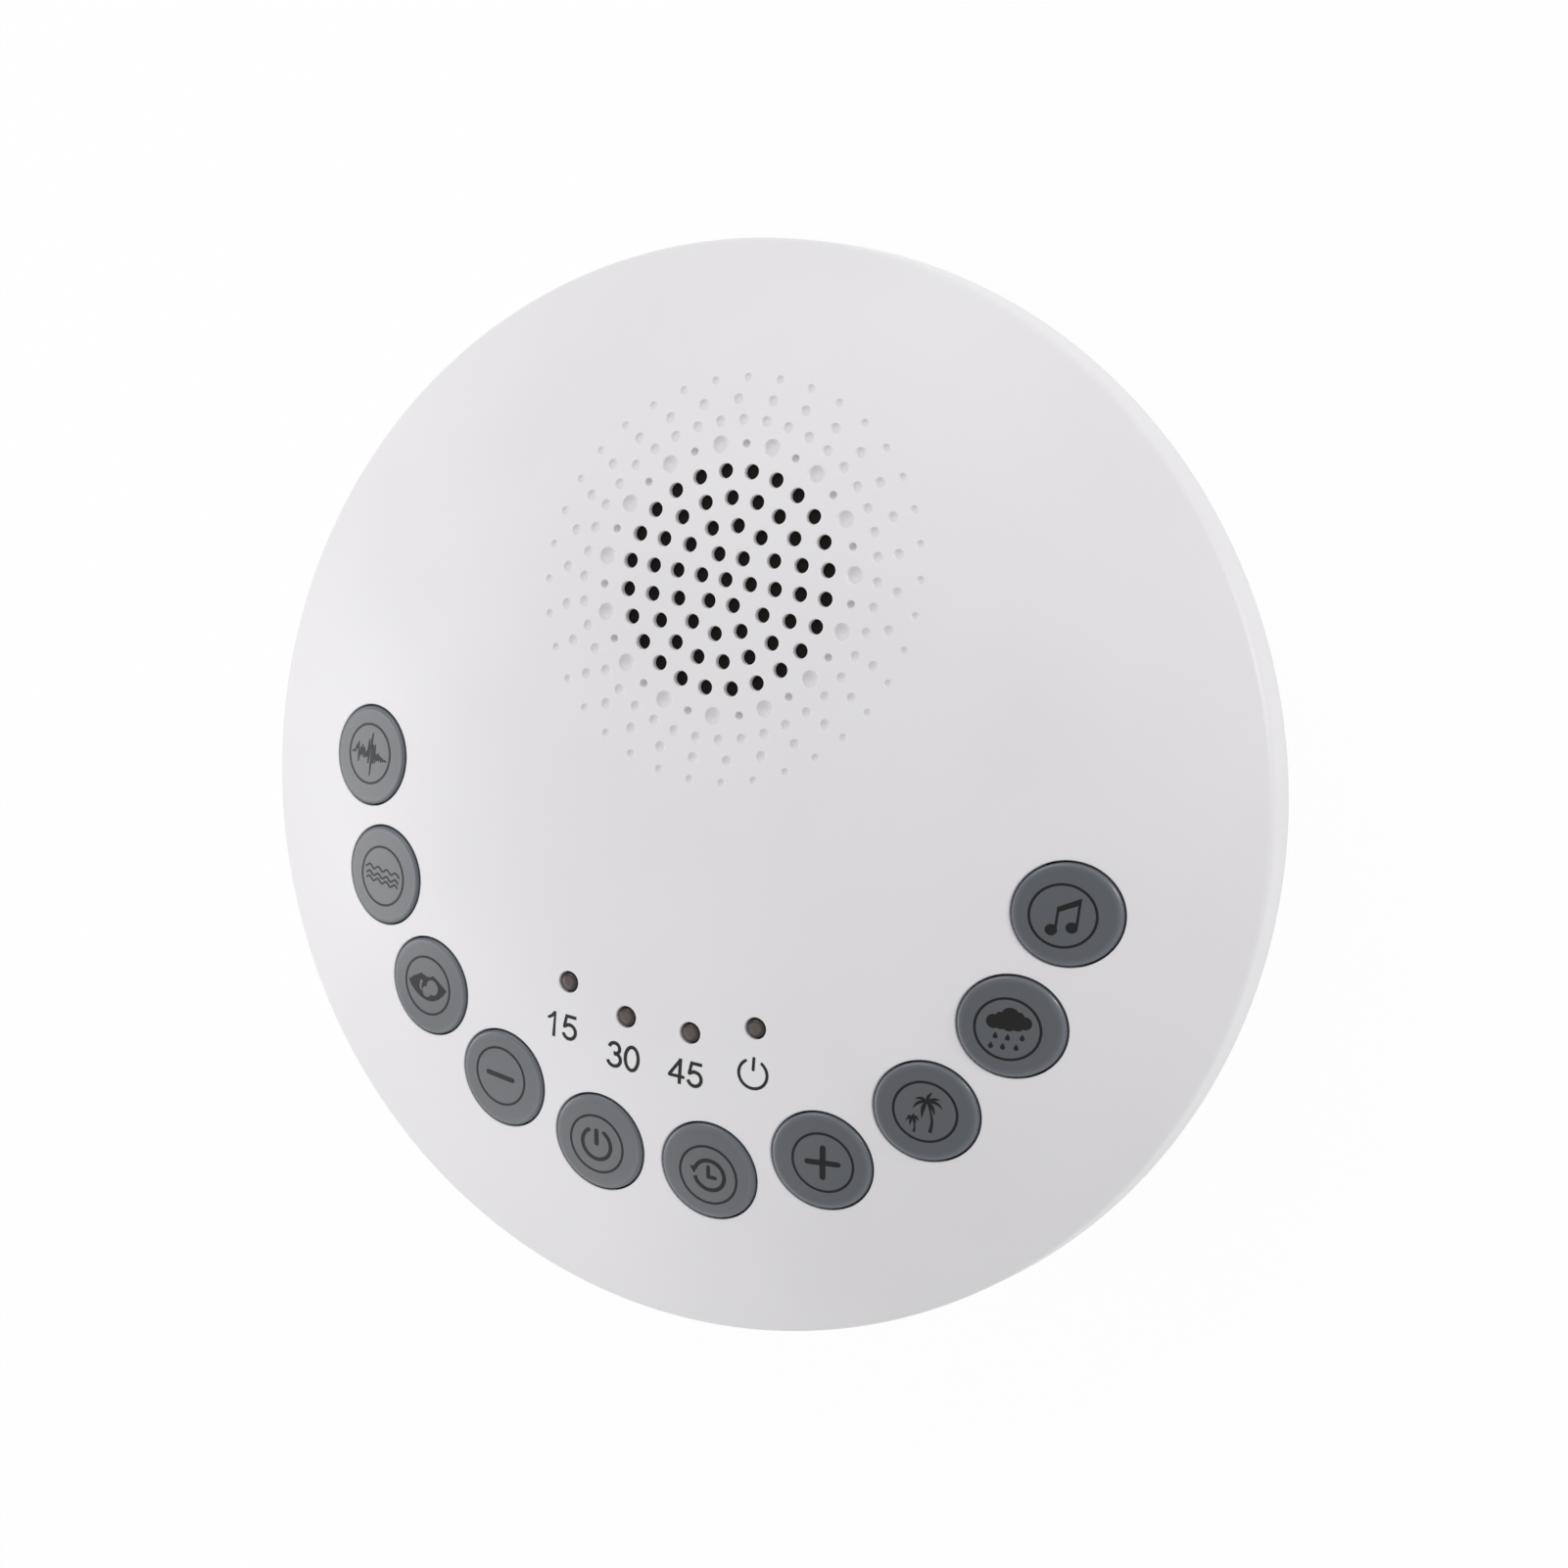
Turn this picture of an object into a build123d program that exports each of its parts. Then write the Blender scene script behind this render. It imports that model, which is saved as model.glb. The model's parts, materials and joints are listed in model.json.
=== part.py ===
from build123d import *

import math
import os

# A round white noise machine that lies on its rubber feet and faces up. All sizes are in millimetres.
# The origin is the middle of the footprint, +Z is up through the dome, -Y is the side with the keys.

# Case form
case_diameter = 125.0
wall_height = 5.2
bowl_height = 21.5
shadow_gap = 0.8
floor_radius = 49.5
foot_stand = 1.5
wall = 2.2
rim_round = 1.4
heel_round = 4.0
bowl_step = 0.6
bowl_bulge = 0.8
crown_radius = 242.0
crown_reach = 20.5
shoulder_radius = 83.5
seam_angle = 15.0

# Seam between the shells: a lip on the bottom shell stands inside the top shell
lip_height = 3.4
lip_thickness = 1.4
lip_clearance = 0.3
lip_root = 2.0

# Keys, on an arc about a centre a little above the middle of the case
key_arc_radius = 44.3
key_arc_y = 2.0
key_spacing = 14.028
key_diameter = 11.4
key_clearance = 0.2
key_proud = 0.25
key_edge_round = 0.6
key_travel = 1.0
key_flange_extra = 0.6
key_flange_thickness = 1.2
key_guide_wall = 1.0
key_guide_gap = 0.4
key_skirt_wall = 1.0
key_plunger_radius = 3.2
key_hollow_depth = 3.0
pill_radius = 2.5
pill_thickness = 0.5
pill_gap = 0.05
key_names = [
    "white_noise",
    "ocean",
    "calm",
    "volume_down",
    "power",
    "timer",
    "volume_up",
    "palms",
    "rain",
    "music",
]

# Silicone web that lies on the board around the feet of the keys
web_thickness = 1.2
web_clearance = 0.3
web_margin = 0.9

# Main board
board_level = 27.9
board_thickness = 1.6
board_margin = 1.2
board_back_y = 6.0
board_notch_gap = 9.0
board_clearance = 0.4
blob_radius = 5.0
blob_height = 1.6
blob_y = -30.0
amplifier_place = (-10.0, -13.0)
amplifier_width = 5.0
amplifier_length = 4.0
amplifier_height = 1.5
capacitor_radius = 2.5
capacitor_height = 5.5
capacitor_places = [(12.0, -33.0), (-14.0, -34.0)]

# Lamps, and the light guide that carries their light up into the lamp holes
lamp_count = 4
lamp_arc_radius = 28.2
lamp_pitch = 16.5
lamp_hole_diameter = 2.5
lamp_recess = 0.9
lamp_size = 1.6
lamp_height = 0.8
guide_post_radius = 1.1
guide_bar_width = 3.6
guide_bar_thickness = 1.4
guide_bar_lift = 1.5
guide_leg_angle = 6.0
guide_leg_radius = 1.3

# Grille: rings of holes at one pitch, then a ring of dimples and small holes
grille_y = 24.6
grille_pitch = 3.0
grille_rings = 4
grille_ring_step = 6
grille_hole_diameter = 1.8
border_count = 15
border_hole_diameter = 0.9
border_hole_depth = 1.4
border_dimple_diameter = 2.1
dimple_depth = 0.5
grille_wall = 1.0
grille_recess_margin = 1.3
cloth_thickness = 0.3
cloth_clearance = 0.15

# Speaker
speaker_radius = 20.0
speaker_front = 34.5
speaker_rim_thickness = 0.8
speaker_rim_width = 2.8
speaker_pocket_gap = 0.3
speaker_ring_wall = 1.7
speaker_ledge = 2.4
gasket_thickness = 0.8
surround_thickness = 0.4
surround_rise = 0.9
surround_width = 2.0
surround_margin = 0.2
basket_depth = 8.5
basket_wall = 0.8
basket_seat_radius = 13.2
basket_hole_radius = 8.0
window_width = 9.0
window_height = 3.6
magnet_radius = 11.5
plate_thickness = 1.2
plate_hole_radius = 7.4
magnet_thickness = 4.5
magnet_hole_radius = 8.2
yoke_thickness = 1.5
pole_radius = 6.2
coil_radius = 6.9
coil_wall = 0.3
coil_height = 5.6
cone_wall = 0.4
cone_depth = 4.8
cone_gap = 0.1
cap_rise = 1.8
cap_wall = 0.3
terminal_width = 8.0
terminal_thickness = 1.0
terminal_height = 3.3
terminal_gap = 0.05
clamp_thickness = 1.5
clamp_lap = 2.0
clamp_rim = 1.5
clamp_boss_gap = 1.1
clamp_angles = [30.0, 150.0, 270.0]
clamp_ear_radius = 3.0

# Screws. Heads are under a seat, and the screws point up, but for those of the power board
case_screw_places = [(32.0, -6.0), (-32.0, -6.0), (33.0, 29.0), (-33.0, 29.0)]
case_screw_radius = 1.3
case_screw_length = 12.0
case_head_radius = 2.5
case_head_height = 1.8
case_post_radius = 4.6
case_boss_radius = 3.0
case_seat = 4.0
seat_drop = 1.0
well_clearance = 0.4
board_screw_places = [(27.0, -1.5), (-27.0, -1.5), (20.0, -19.0), (-20.0, -19.0)]
board_screw_length = 6.0
clamp_screw_length = 4.0
power_screw_length = 3.0
small_screw_radius = 1.0
small_head_radius = 1.9
small_head_height = 1.3
small_boss_radius = 2.4
thread_clearance = 0.05
shank_clearance = 0.2
tip_room = 0.5
drive_width = 0.7
drive_depth = 0.8

# Battery bay, cells and contacts
cell_count = 3
cell_diameter = 14.5
cell_length = 49.2
cell_nub_radius = 2.75
cell_nub_height = 1.3
cell_chamfer = 0.5
cell_gap = 0.4
contact_room = 2.0
bay_y = -12.0
bay_wall = 1.8
bay_rib_thickness = 1.2
bay_rib_depth = 3.4
bay_rib_length = 40.0
contact_thickness = 0.4
contact_width = 9.0
contact_height = 11.0
leaf_width = 5.0
leaf_height = 6.0
leaf_gap = 0.1
tab_width = 3.0
tab_height = 1.6
tab_clearance = 0.1

# Battery door, with two tongues at its rear edge and a latch at its front edge
door_thickness = 1.8
door_overlap = 1.2
door_gap = 0.3
door_seat_gap = 0.1
door_corner = 3.0
door_rib_height = 1.8
door_rib_thickness = 1.0
frame_width = 1.5
frame_thickness = 2.0
tongue_x = 15.0
tongue_width = 8.0
tongue_length = 3.0
tongue_root = 3.0
tongue_thickness = 1.2
tongue_gap = 0.3
tongue_slot_height = 5.4
latch_width = 12.0
latch_length = 7.0
latch_slot = 1.0
grip_count = 4
grip_pitch = 1.4
grip_width = 0.6
grip_length = 8.0
grip_height = 0.4
scoop_radius = 9.0
scoop_reach = 4.5
scoop_depth = 1.0

# Power inlet, in a pocket in the rear of the bowl
pocket_width = 14.0
pocket_bottom = 5.0
pocket_top = 18.0
pocket_depth = 16.5
pocket_wall = 2.0
pocket_corner = 2.0
jack_width = 9.0
jack_height = 10.8
jack_length = 12.0
jack_nose_radius = 4.0
jack_nose_clearance = 0.1
jack_gap = 0.2
jack_bore_radius = 3.1
jack_bore_depth = 9.5
jack_pin_radius = 1.0
jack_pin_length = 8.5
power_board_width = 21.0
power_board_length = 13.0
power_board_thickness = 1.2
power_screw_x = 7.7
power_post_radius = 2.6
power_post_height = 1.3

# Rubber feet
foot_circle = 40.5
foot_angles = [62.0, 118.0, 214.0, 326.0]
foot_radius = 4.5
foot_clearance = 0.1
foot_recess = 0.8
foot_edge_round = 0.5

# Levels, radii and places that follow from the sizes above
case_radius = case_diameter / 2
underside = foot_stand
floor_top = underside + wall
parting = underside + bowl_height
skirt = parting + shadow_gap
rim = skirt + wall_height
bowl_rim_radius = case_radius - bowl_step
seat_level = parting - seat_drop
screw_level = seat_level - case_seat
lip_radius = case_radius - wall - lip_clearance
pocket_y = case_radius - pocket_depth
key_pitch = math.degrees(2 * math.asin(key_spacing / 2 / key_arc_radius))
key_radius = key_diameter / 2
key_hole_radius = key_radius + key_clearance
key_flange_radius = key_radius + key_flange_extra
key_bay_radius = key_flange_radius + web_clearance
board_radius = key_arc_radius + key_bay_radius + web_margin + board_margin
board_top = board_level + board_thickness
key_foot = board_top + key_travel + pill_gap + pill_thickness
key_guide_level = key_foot + key_flange_thickness + key_guide_gap
bar_level = board_top + guide_bar_lift
grille_recess_radius = grille_rings * grille_pitch + grille_hole_diameter / 2 + grille_recess_margin
speaker_pocket_radius = speaker_radius + speaker_pocket_gap
speaker_ring_radius = speaker_pocket_radius + speaker_ring_wall
clamp_inner_radius = speaker_radius - clamp_lap
clamp_outer_radius = speaker_ring_radius + clamp_rim
clamp_circle = speaker_ring_radius + small_boss_radius + clamp_boss_gap
basket_base = speaker_front - basket_depth
clamp_seat = speaker_front - speaker_rim_thickness
ledge_level = speaker_front + surround_thickness + gasket_thickness
cone_low = speaker_front - cone_depth
coil_top = cone_low + cone_wall
plate_level = basket_base - plate_thickness
magnet_level = plate_level - magnet_thickness
yoke_level = magnet_level - yoke_thickness
door_seat = underside + door_thickness
cell_level = door_seat + cell_gap + cell_diameter / 2
cell_pitch = cell_diameter + cell_gap
bay_ceiling = cell_level + cell_diameter / 2 + cell_gap
bay_top = bay_ceiling + bay_wall
bay_length = cell_length + cell_nub_height + 2 * contact_room
bay_width = cell_count * cell_pitch + cell_gap
door_length = bay_length + 2 * door_overlap
door_width = bay_width + 2 * door_overlap
hinge_y = bay_y + door_width / 2
latch_y = bay_y - door_width / 2
tongue_level = floor_top + tongue_gap
pocket_middle = (pocket_bottom + pocket_top) / 2
power_board_level = floor_top + power_post_height
power_board_top = power_board_level + power_board_thickness
jack_z = power_board_top + jack_height / 2
power_board_y = pocket_y - pocket_wall - jack_gap - power_board_length / 2
power_screw_places = [(power_screw_x, power_board_y), (-power_screw_x, power_board_y)]
small_hole_radius = small_screw_radius + thread_clearance
small_shank_radius = small_screw_radius + shank_clearance
opening_length = door_length + 2 * door_gap
opening_width = door_width + 2 * door_gap
rim_inner_radius = speaker_radius - speaker_rim_width
cone_radius = rim_inner_radius - basket_wall - surround_width / 2
basket_slope = (rim_inner_radius - basket_seat_radius) / (clamp_seat - basket_base)
terminal_top = clamp_seat - clamp_thickness - tip_room
terminal_seat_radius = rim_inner_radius - basket_slope * (clamp_seat - terminal_top)
blend_angle = math.asin(crown_reach / crown_radius)
shoulder_shift = crown_radius - shoulder_radius
seam_turn = math.radians(seam_angle)
seam_plane = Plane(
    origin=(0, 0, 0),
    x_dir=(math.cos(seam_turn), math.sin(seam_turn), 0),
    z_dir=(math.sin(seam_turn), -math.cos(seam_turn), 0),
)


def dome_drop(radius, inset=0.0):
    """How far the dome, sunk by inset, lies below the top of its crown at a radius."""
    if radius <= (crown_radius - inset) * math.sin(blend_angle):
        return crown_radius - math.sqrt((crown_radius - inset) ** 2 - radius**2)
    along = radius - shoulder_shift * math.sin(blend_angle)
    shoulder = shoulder_shift * math.cos(blend_angle)
    return crown_radius - shoulder - math.sqrt((shoulder_radius - inset) ** 2 - along**2)


crown = rim + dome_drop(case_radius)


def dome_level(radius, inset=0.0):
    """Height of the dome, sunk by inset, at a radius from the axis of the case."""
    return crown - dome_drop(radius, inset)


def on_arc(radius, angle, centre_y):
    """Point at an angle in degrees on an arc about (0, centre_y)."""
    turn = math.radians(angle)
    return (radius * math.cos(turn), centre_y + radius * math.sin(turn))


def spread(count, pitch):
    """Angles of count things at a pitch, evenly about the -Y side."""
    return [-90.0 + (index - (count - 1) / 2) * pitch for index in range(count)]


def dome_section(inset, floor_level):
    """Half-section of the dome, sunk by inset and closed down to floor_level, clear of keys and bosses."""
    turn = (crown_radius - inset) * math.sin(blend_angle)
    reach = case_radius - inset
    middle = (turn + reach) / 2
    top_point = (0, dome_level(0, inset))
    turn_point = (turn, dome_level(turn, inset))
    rim_point = (reach, dome_level(reach, inset))
    with BuildSketch(seam_plane) as section:
        with BuildLine():
            ThreePointArc(top_point, (turn / 2, dome_level(turn / 2, inset)), turn_point)
            ThreePointArc(turn_point, (middle, dome_level(middle, inset)), rim_point)
            Polyline(rim_point, (reach, floor_level), (0, floor_level), top_point)
        make_face()
    return section.sketch


def bowl_section(inset):
    """Half-section of the outside of the bottom shell, sunk by inset, as a solid bowl."""
    heel_point = (floor_radius - inset, underside + inset)
    rim_point = (bowl_rim_radius - inset, parting)
    with BuildSketch(Plane.XZ) as section:
        with BuildLine():
            Line((0, underside + inset), heel_point)
            SagittaArc(heel_point, rim_point, -bowl_bulge)
            Polyline(rim_point, (0, parting), (0, underside + inset))
        make_face()
    return section.sketch


def rounds(level, radius, places):
    """Circles of one size on a level, ready to extrude."""
    with BuildSketch(Plane.XY.offset(level)) as outline:
        with Locations(*places):
            Circle(radius)
    return outline.sketch


def squares(level, width, length, places):
    """Rectangles of one size on a level, ready to extrude."""
    with BuildSketch(Plane.XY.offset(level)) as outline:
        with Locations(*places):
            Rectangle(width, length)
    return outline.sketch


def screws(radius, length, head_radius, head_height, places, seat, way):
    """Screws with their heads at a seat level, pointing up (way 1) or down (way -1)."""
    with BuildPart() as made:
        extrude(rounds(seat, head_radius, places), amount=-way * head_height)
        extrude(rounds(seat, radius, places), amount=way * length)
        with BuildSketch(Plane.XY.offset(seat - way * head_height)):
            with Locations(*places):
                Rectangle(2 * radius, drive_width)
                Rectangle(drive_width, 2 * radius)
        extrude(amount=way * drive_depth, mode=Mode.SUBTRACT)
    return made.part


def dome_slice(radius, place, top_inset, floor_inset):
    """Round piece of the dome's wall between two depths below its outside."""
    with BuildPart() as made:
        extrude(rounds(clamp_seat, radius, place), amount=crown - clamp_seat)
        revolve(dome_section(top_inset, seat_level), axis=Axis.Z, mode=Mode.INTERSECT)
        revolve(dome_section(floor_inset, seat_level), axis=Axis.Z, mode=Mode.SUBTRACT)
    return made.part


def blind_pins(radius, places, depth):
    """Pins that reach from above the dome to one depth below it."""
    with BuildPart() as made:
        extrude(rounds(rim, radius, places), amount=crown - rim)
        revolve(dome_section(depth, skirt), axis=Axis.Z, mode=Mode.SUBTRACT)
    return made.part


def keep(part, name):
    """Label a finished piece and write it out."""
    part.label = name
    export_step(part, f"parts/{name}.step")


os.makedirs("parts", exist_ok=True)
key_places = [on_arc(key_arc_radius, angle, key_arc_y) for angle in spread(len(key_names), key_pitch)]
lamp_places = [on_arc(lamp_arc_radius, angle, key_arc_y) for angle in spread(lamp_count, lamp_pitch)]
clamp_screw_places = [on_arc(clamp_circle, angle, grille_y) for angle in clamp_angles]
border_radius = (grille_rings + 1) * grille_pitch
border_turn = 360.0 / border_count
border_hole_places = [on_arc(border_radius, index * border_turn, grille_y) for index in range(border_count)]
border_dimple_places = [
    on_arc(border_radius, (index + 0.5) * border_turn, grille_y) for index in range(border_count)
]
foot_places = [on_arc(foot_circle, angle, 0) for angle in foot_angles]
cell_ys = [bay_y + (index - (cell_count - 1) / 2) * cell_pitch for index in range(cell_count)]
rib_ys = [y + cell_pitch / 2 for y in cell_ys[:-1]]
speaker_place = [(0, grille_y)]
speaker_plane = Plane.XZ.offset(-grille_y)
speaker_axis = Axis((0, grille_y, 0), (0, 0, 1))
rear_plane = Plane(origin=(0, pocket_y, 0), x_dir=(-1, 0, 0), z_dir=(0, 1, 0))

# Ribs of the top shell: key guides, speaker ring, screw bosses, all cut to the underside of the dome
with BuildPart() as dome_ribs:
    extrude(
        rounds(key_guide_level, key_hole_radius + key_guide_wall, key_places),
        amount=crown - key_guide_level,
    )
    extrude(
        rounds(clamp_seat, speaker_ring_radius, speaker_place),
        amount=crown - clamp_seat,
    )
    extrude(
        rounds(clamp_seat, speaker_radius - speaker_ledge, speaker_place),
        amount=crown - clamp_seat,
        mode=Mode.SUBTRACT,
    )
    extrude(
        rounds(clamp_seat, speaker_pocket_radius, speaker_place),
        amount=ledge_level - clamp_seat,
        mode=Mode.SUBTRACT,
    )
    extrude(rounds(clamp_seat, small_boss_radius, clamp_screw_places), amount=crown - clamp_seat)
    extrude(rounds(board_top, small_boss_radius, board_screw_places), amount=crown - board_top)
    extrude(rounds(seat_level, case_boss_radius, case_screw_places), amount=crown - seat_level)
    revolve(dome_section(wall / 2, seat_level), axis=Axis.Z, mode=Mode.INTERSECT)

# Blind holes and dimples follow the dome at one depth, and the wall is thinner behind the open holes
dimple_cutter = blind_pins(border_dimple_diameter / 2, border_dimple_places, dimple_depth)
border_hole_cutter = blind_pins(border_hole_diameter / 2, border_hole_places, border_hole_depth)
recess_cutter = dome_slice(grille_recess_radius, speaker_place, grille_wall, 2 * wall)

# Top shell: hollow dome with its upright band, ribs, key openings, lamp holes and grille
with BuildPart() as top_shell:
    revolve(dome_section(0, skirt), axis=Axis.Z)
    fillet(top_shell.edges().filter_by_position(Axis.Z, rim - 0.1, rim + 0.1), rim_round)
    revolve(dome_section(wall, skirt), axis=Axis.Z, mode=Mode.SUBTRACT)
    add(dome_ribs.part)
    add(recess_cutter, mode=Mode.SUBTRACT)
    with BuildSketch(Plane.XY.offset(key_guide_level - tip_room)):
        with Locations(*key_places):
            Circle(key_hole_radius)
        with Locations(*lamp_places):
            Circle(lamp_hole_diameter / 2)
        with Locations(*speaker_place):
            Circle(grille_hole_diameter / 2)
            for ring in range(1, grille_rings + 1):
                with PolarLocations(ring * grille_pitch, ring * grille_ring_step):
                    Circle(grille_hole_diameter / 2)
    extrude(amount=crown - key_guide_level + tip_room, mode=Mode.SUBTRACT)
    add(dimple_cutter, mode=Mode.SUBTRACT)
    add(border_hole_cutter, mode=Mode.SUBTRACT)
    case_hole_height = screw_level + case_screw_length + tip_room - seat_level
    extrude(
        rounds(seat_level, case_screw_radius + thread_clearance, case_screw_places),
        amount=case_hole_height,
        mode=Mode.SUBTRACT,
    )
    board_hole_height = board_level + board_screw_length + tip_room - board_top
    extrude(
        rounds(board_top, small_hole_radius, board_screw_places),
        amount=board_hole_height,
        mode=Mode.SUBTRACT,
    )
    clamp_hole_height = clamp_screw_length - clamp_thickness + tip_room
    extrude(
        rounds(clamp_seat, small_hole_radius, clamp_screw_places),
        amount=clamp_hole_height,
        mode=Mode.SUBTRACT,
    )
keep(top_shell.part, "top_shell")

# Black cloth behind the open holes
cloth_depth = grille_wall + cloth_clearance
cloth_radius = grille_recess_radius - cloth_clearance
keep(dome_slice(cloth_radius, speaker_place, cloth_depth, cloth_depth + cloth_thickness), "grille_cloth")

# Walls inside the bottom shell, cut to the middle of its wall
with BuildPart() as bowl_walls:
    with BuildSketch(Plane.XY.offset(door_seat)):
        with Locations((0, bay_y)):
            frame_corner = door_corner + frame_width
            RectangleRounded(
                opening_length + 2 * frame_width, opening_width + 2 * frame_width, frame_corner
            )
    extrude(amount=frame_thickness)
    extrude(
        squares(door_seat, bay_length + 2 * bay_wall, bay_width + 2 * bay_wall, [(0, bay_y)]),
        amount=bay_top - door_seat,
    )
    extrude(rounds(underside, case_post_radius, case_screw_places), amount=seat_level - underside)
    extrude(rounds(underside, power_post_radius, power_screw_places), amount=power_board_level - underside)
    with BuildSketch(rear_plane.offset(-pocket_wall)):
        with Locations((0, pocket_middle)):
            Rectangle(pocket_width + 2 * pocket_wall, pocket_top - pocket_bottom + 2 * pocket_wall)
    extrude(amount=case_radius - pocket_y + pocket_wall)
    revolve(bowl_section(wall / 2), axis=Axis.Z, mode=Mode.INTERSECT)

# Room inside the bottom shell
with BuildPart() as bowl_room:
    revolve(bowl_section(wall), axis=Axis.Z)
    fillet(
        bowl_room.edges().filter_by_position(Axis.Z, floor_top - 0.1, floor_top + 0.1), heel_round - wall
    )

# Bottom shell: hollow bowl with its lip, battery bay, screw wells, power pocket and foot recesses
with BuildPart() as bottom_shell:
    revolve(bowl_section(0), axis=Axis.Z)
    fillet(bottom_shell.edges().filter_by_position(Axis.Z, underside - 0.1, underside + 0.1), heel_round)
    add(bowl_room.part, mode=Mode.SUBTRACT)
    with BuildSketch(Plane.XY.offset(parting - lip_root)):
        Circle(lip_radius)
        Circle(lip_radius - lip_thickness, mode=Mode.SUBTRACT)
    extrude(amount=lip_root + lip_height)
    add(bowl_walls.part)
    extrude(
        squares(underside, bay_length, bay_width, [(0, bay_y)]),
        amount=bay_ceiling - underside,
        mode=Mode.SUBTRACT,
    )
    extrude(
        squares(bay_ceiling - bay_rib_depth, bay_rib_length, bay_rib_thickness, [(0, y) for y in rib_ys]),
        amount=bay_rib_depth,
    )
    with BuildSketch(Plane.XY.offset(underside)):
        with Locations((0, bay_y)):
            RectangleRounded(opening_length, opening_width, door_corner + door_gap)
    extrude(amount=door_thickness, mode=Mode.SUBTRACT)
    slot_width = tongue_width + 2 * tongue_gap
    slot_top = underside + tongue_slot_height
    slot_inner_y = bay_y + bay_width / 2 - tongue_root
    slot_outer_y = hinge_y + tongue_length + tongue_gap
    with BuildSketch(Plane.XY.offset(door_seat)):
        with Locations((tongue_x, 0), (-tongue_x, 0)):
            with Locations((0, (slot_inner_y + hinge_y + door_gap) / 2)):
                Rectangle(slot_width, hinge_y + door_gap - slot_inner_y)
    extrude(amount=slot_top - door_seat, mode=Mode.SUBTRACT)
    with BuildSketch(Plane.XY.offset(floor_top)):
        with Locations((tongue_x, 0), (-tongue_x, 0)):
            with Locations((0, (slot_inner_y + slot_outer_y) / 2)):
                Rectangle(slot_width, slot_outer_y - slot_inner_y)
    extrude(amount=slot_top - floor_top, mode=Mode.SUBTRACT)
    with BuildSketch(Plane.XY.offset(bay_ceiling)):
        for end in (1, -1):
            with Locations((end * (bay_length / 2 - contact_thickness / 2), bay_y + end * cell_pitch)):
                Rectangle(contact_thickness + 2 * tab_clearance, tab_width + 2 * tab_clearance)
    extrude(amount=bay_wall, mode=Mode.SUBTRACT)
    scoop_y = latch_y - door_gap - scoop_reach + scoop_radius
    extrude(rounds(underside, scoop_radius, [(0, scoop_y)]), amount=scoop_depth, mode=Mode.SUBTRACT)
    extrude(
        rounds(underside, foot_radius + foot_clearance, foot_places), amount=foot_recess, mode=Mode.SUBTRACT
    )
    well_radius = case_head_radius + well_clearance
    extrude(
        rounds(underside, well_radius, case_screw_places),
        amount=screw_level - underside,
        mode=Mode.SUBTRACT,
    )
    extrude(
        rounds(screw_level, case_screw_radius + shank_clearance, case_screw_places),
        amount=case_seat,
        mode=Mode.SUBTRACT,
    )
    power_hole_depth = power_screw_length - power_board_thickness + tip_room
    extrude(
        rounds(power_board_level, small_hole_radius, power_screw_places),
        amount=-power_hole_depth,
        mode=Mode.SUBTRACT,
    )
    with BuildSketch(rear_plane):
        with Locations((0, pocket_middle)):
            RectangleRounded(pocket_width, pocket_top - pocket_bottom, pocket_corner)
    extrude(amount=case_radius - pocket_y, mode=Mode.SUBTRACT)
    with BuildSketch(rear_plane):
        with Locations((0, jack_z)):
            Circle(jack_nose_radius + jack_nose_clearance)
    extrude(amount=-pocket_wall, mode=Mode.SUBTRACT)
keep(bottom_shell.part, "bottom_shell")

# Battery door: a plate with ribs between the cells, two tongues, and a latch tab with grip lines
with BuildPart() as battery_door:
    with BuildSketch(Plane.XY.offset(underside)):
        with Locations((0, bay_y)):
            RectangleRounded(door_length, door_width, door_corner)
        with Locations((0, latch_y + latch_length / 2)):
            with Locations((latch_width / 2, 0), (-latch_width / 2, 0)):
                Rectangle(latch_slot, latch_length, mode=Mode.SUBTRACT)
    extrude(amount=door_thickness - door_seat_gap)
    door_top = door_seat - door_seat_gap
    extrude(
        squares(door_top, bay_rib_length, door_rib_thickness, [(0, y) for y in rib_ys]),
        amount=door_rib_height,
    )
    root_places = [(tongue_x, hinge_y - tongue_root / 2), (-tongue_x, hinge_y - tongue_root / 2)]
    extrude(
        squares(door_top, tongue_width, tongue_root, root_places),
        amount=tongue_level + tongue_thickness - door_top,
    )
    tip_places = [(tongue_x, hinge_y + tongue_length / 2), (-tongue_x, hinge_y + tongue_length / 2)]
    extrude(squares(tongue_level, tongue_width, tongue_length, tip_places), amount=tongue_thickness)
    grip_places = [(0, latch_y + (index + 1) * grip_pitch) for index in range(grip_count)]
    extrude(squares(underside - grip_height, grip_length, grip_width, grip_places), amount=grip_height)
keep(battery_door.part, "battery_door")

# Keys: each follows the dome at its top, with a flange under the case and a hollow around its plunger
key_line = CenterArc(
    (0, key_arc_y), key_arc_radius, spread(len(key_names), key_pitch)[0], (len(key_names) - 1) * key_pitch
)
for key_name, place in zip(key_names, key_places):
    with BuildPart() as key:
        extrude(rounds(key_foot, key_flange_radius, [place]), amount=key_flange_thickness)
        extrude(rounds(key_foot, key_radius, [place]), amount=crown - key_foot + key_proud)
        revolve(dome_section(-key_proud, seat_level), axis=Axis.Z, mode=Mode.INTERSECT)
        fillet(key.edges().filter_by(GeomType.LINE, reverse=True).sort_by(Axis.Z)[-1], key_edge_round)
        with BuildSketch(Plane.XY.offset(key_foot)):
            with Locations(place):
                Circle(key_radius - key_skirt_wall)
                Circle(key_plunger_radius, mode=Mode.SUBTRACT)
        extrude(amount=key_hollow_depth, mode=Mode.SUBTRACT)
    keep(key.part, f"key_{key_name}")
    with BuildPart() as pill:
        extrude(rounds(key_foot, pill_radius, [place]), amount=-pill_thickness)
    keep(pill.part, f"pill_{key_name}")

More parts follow.
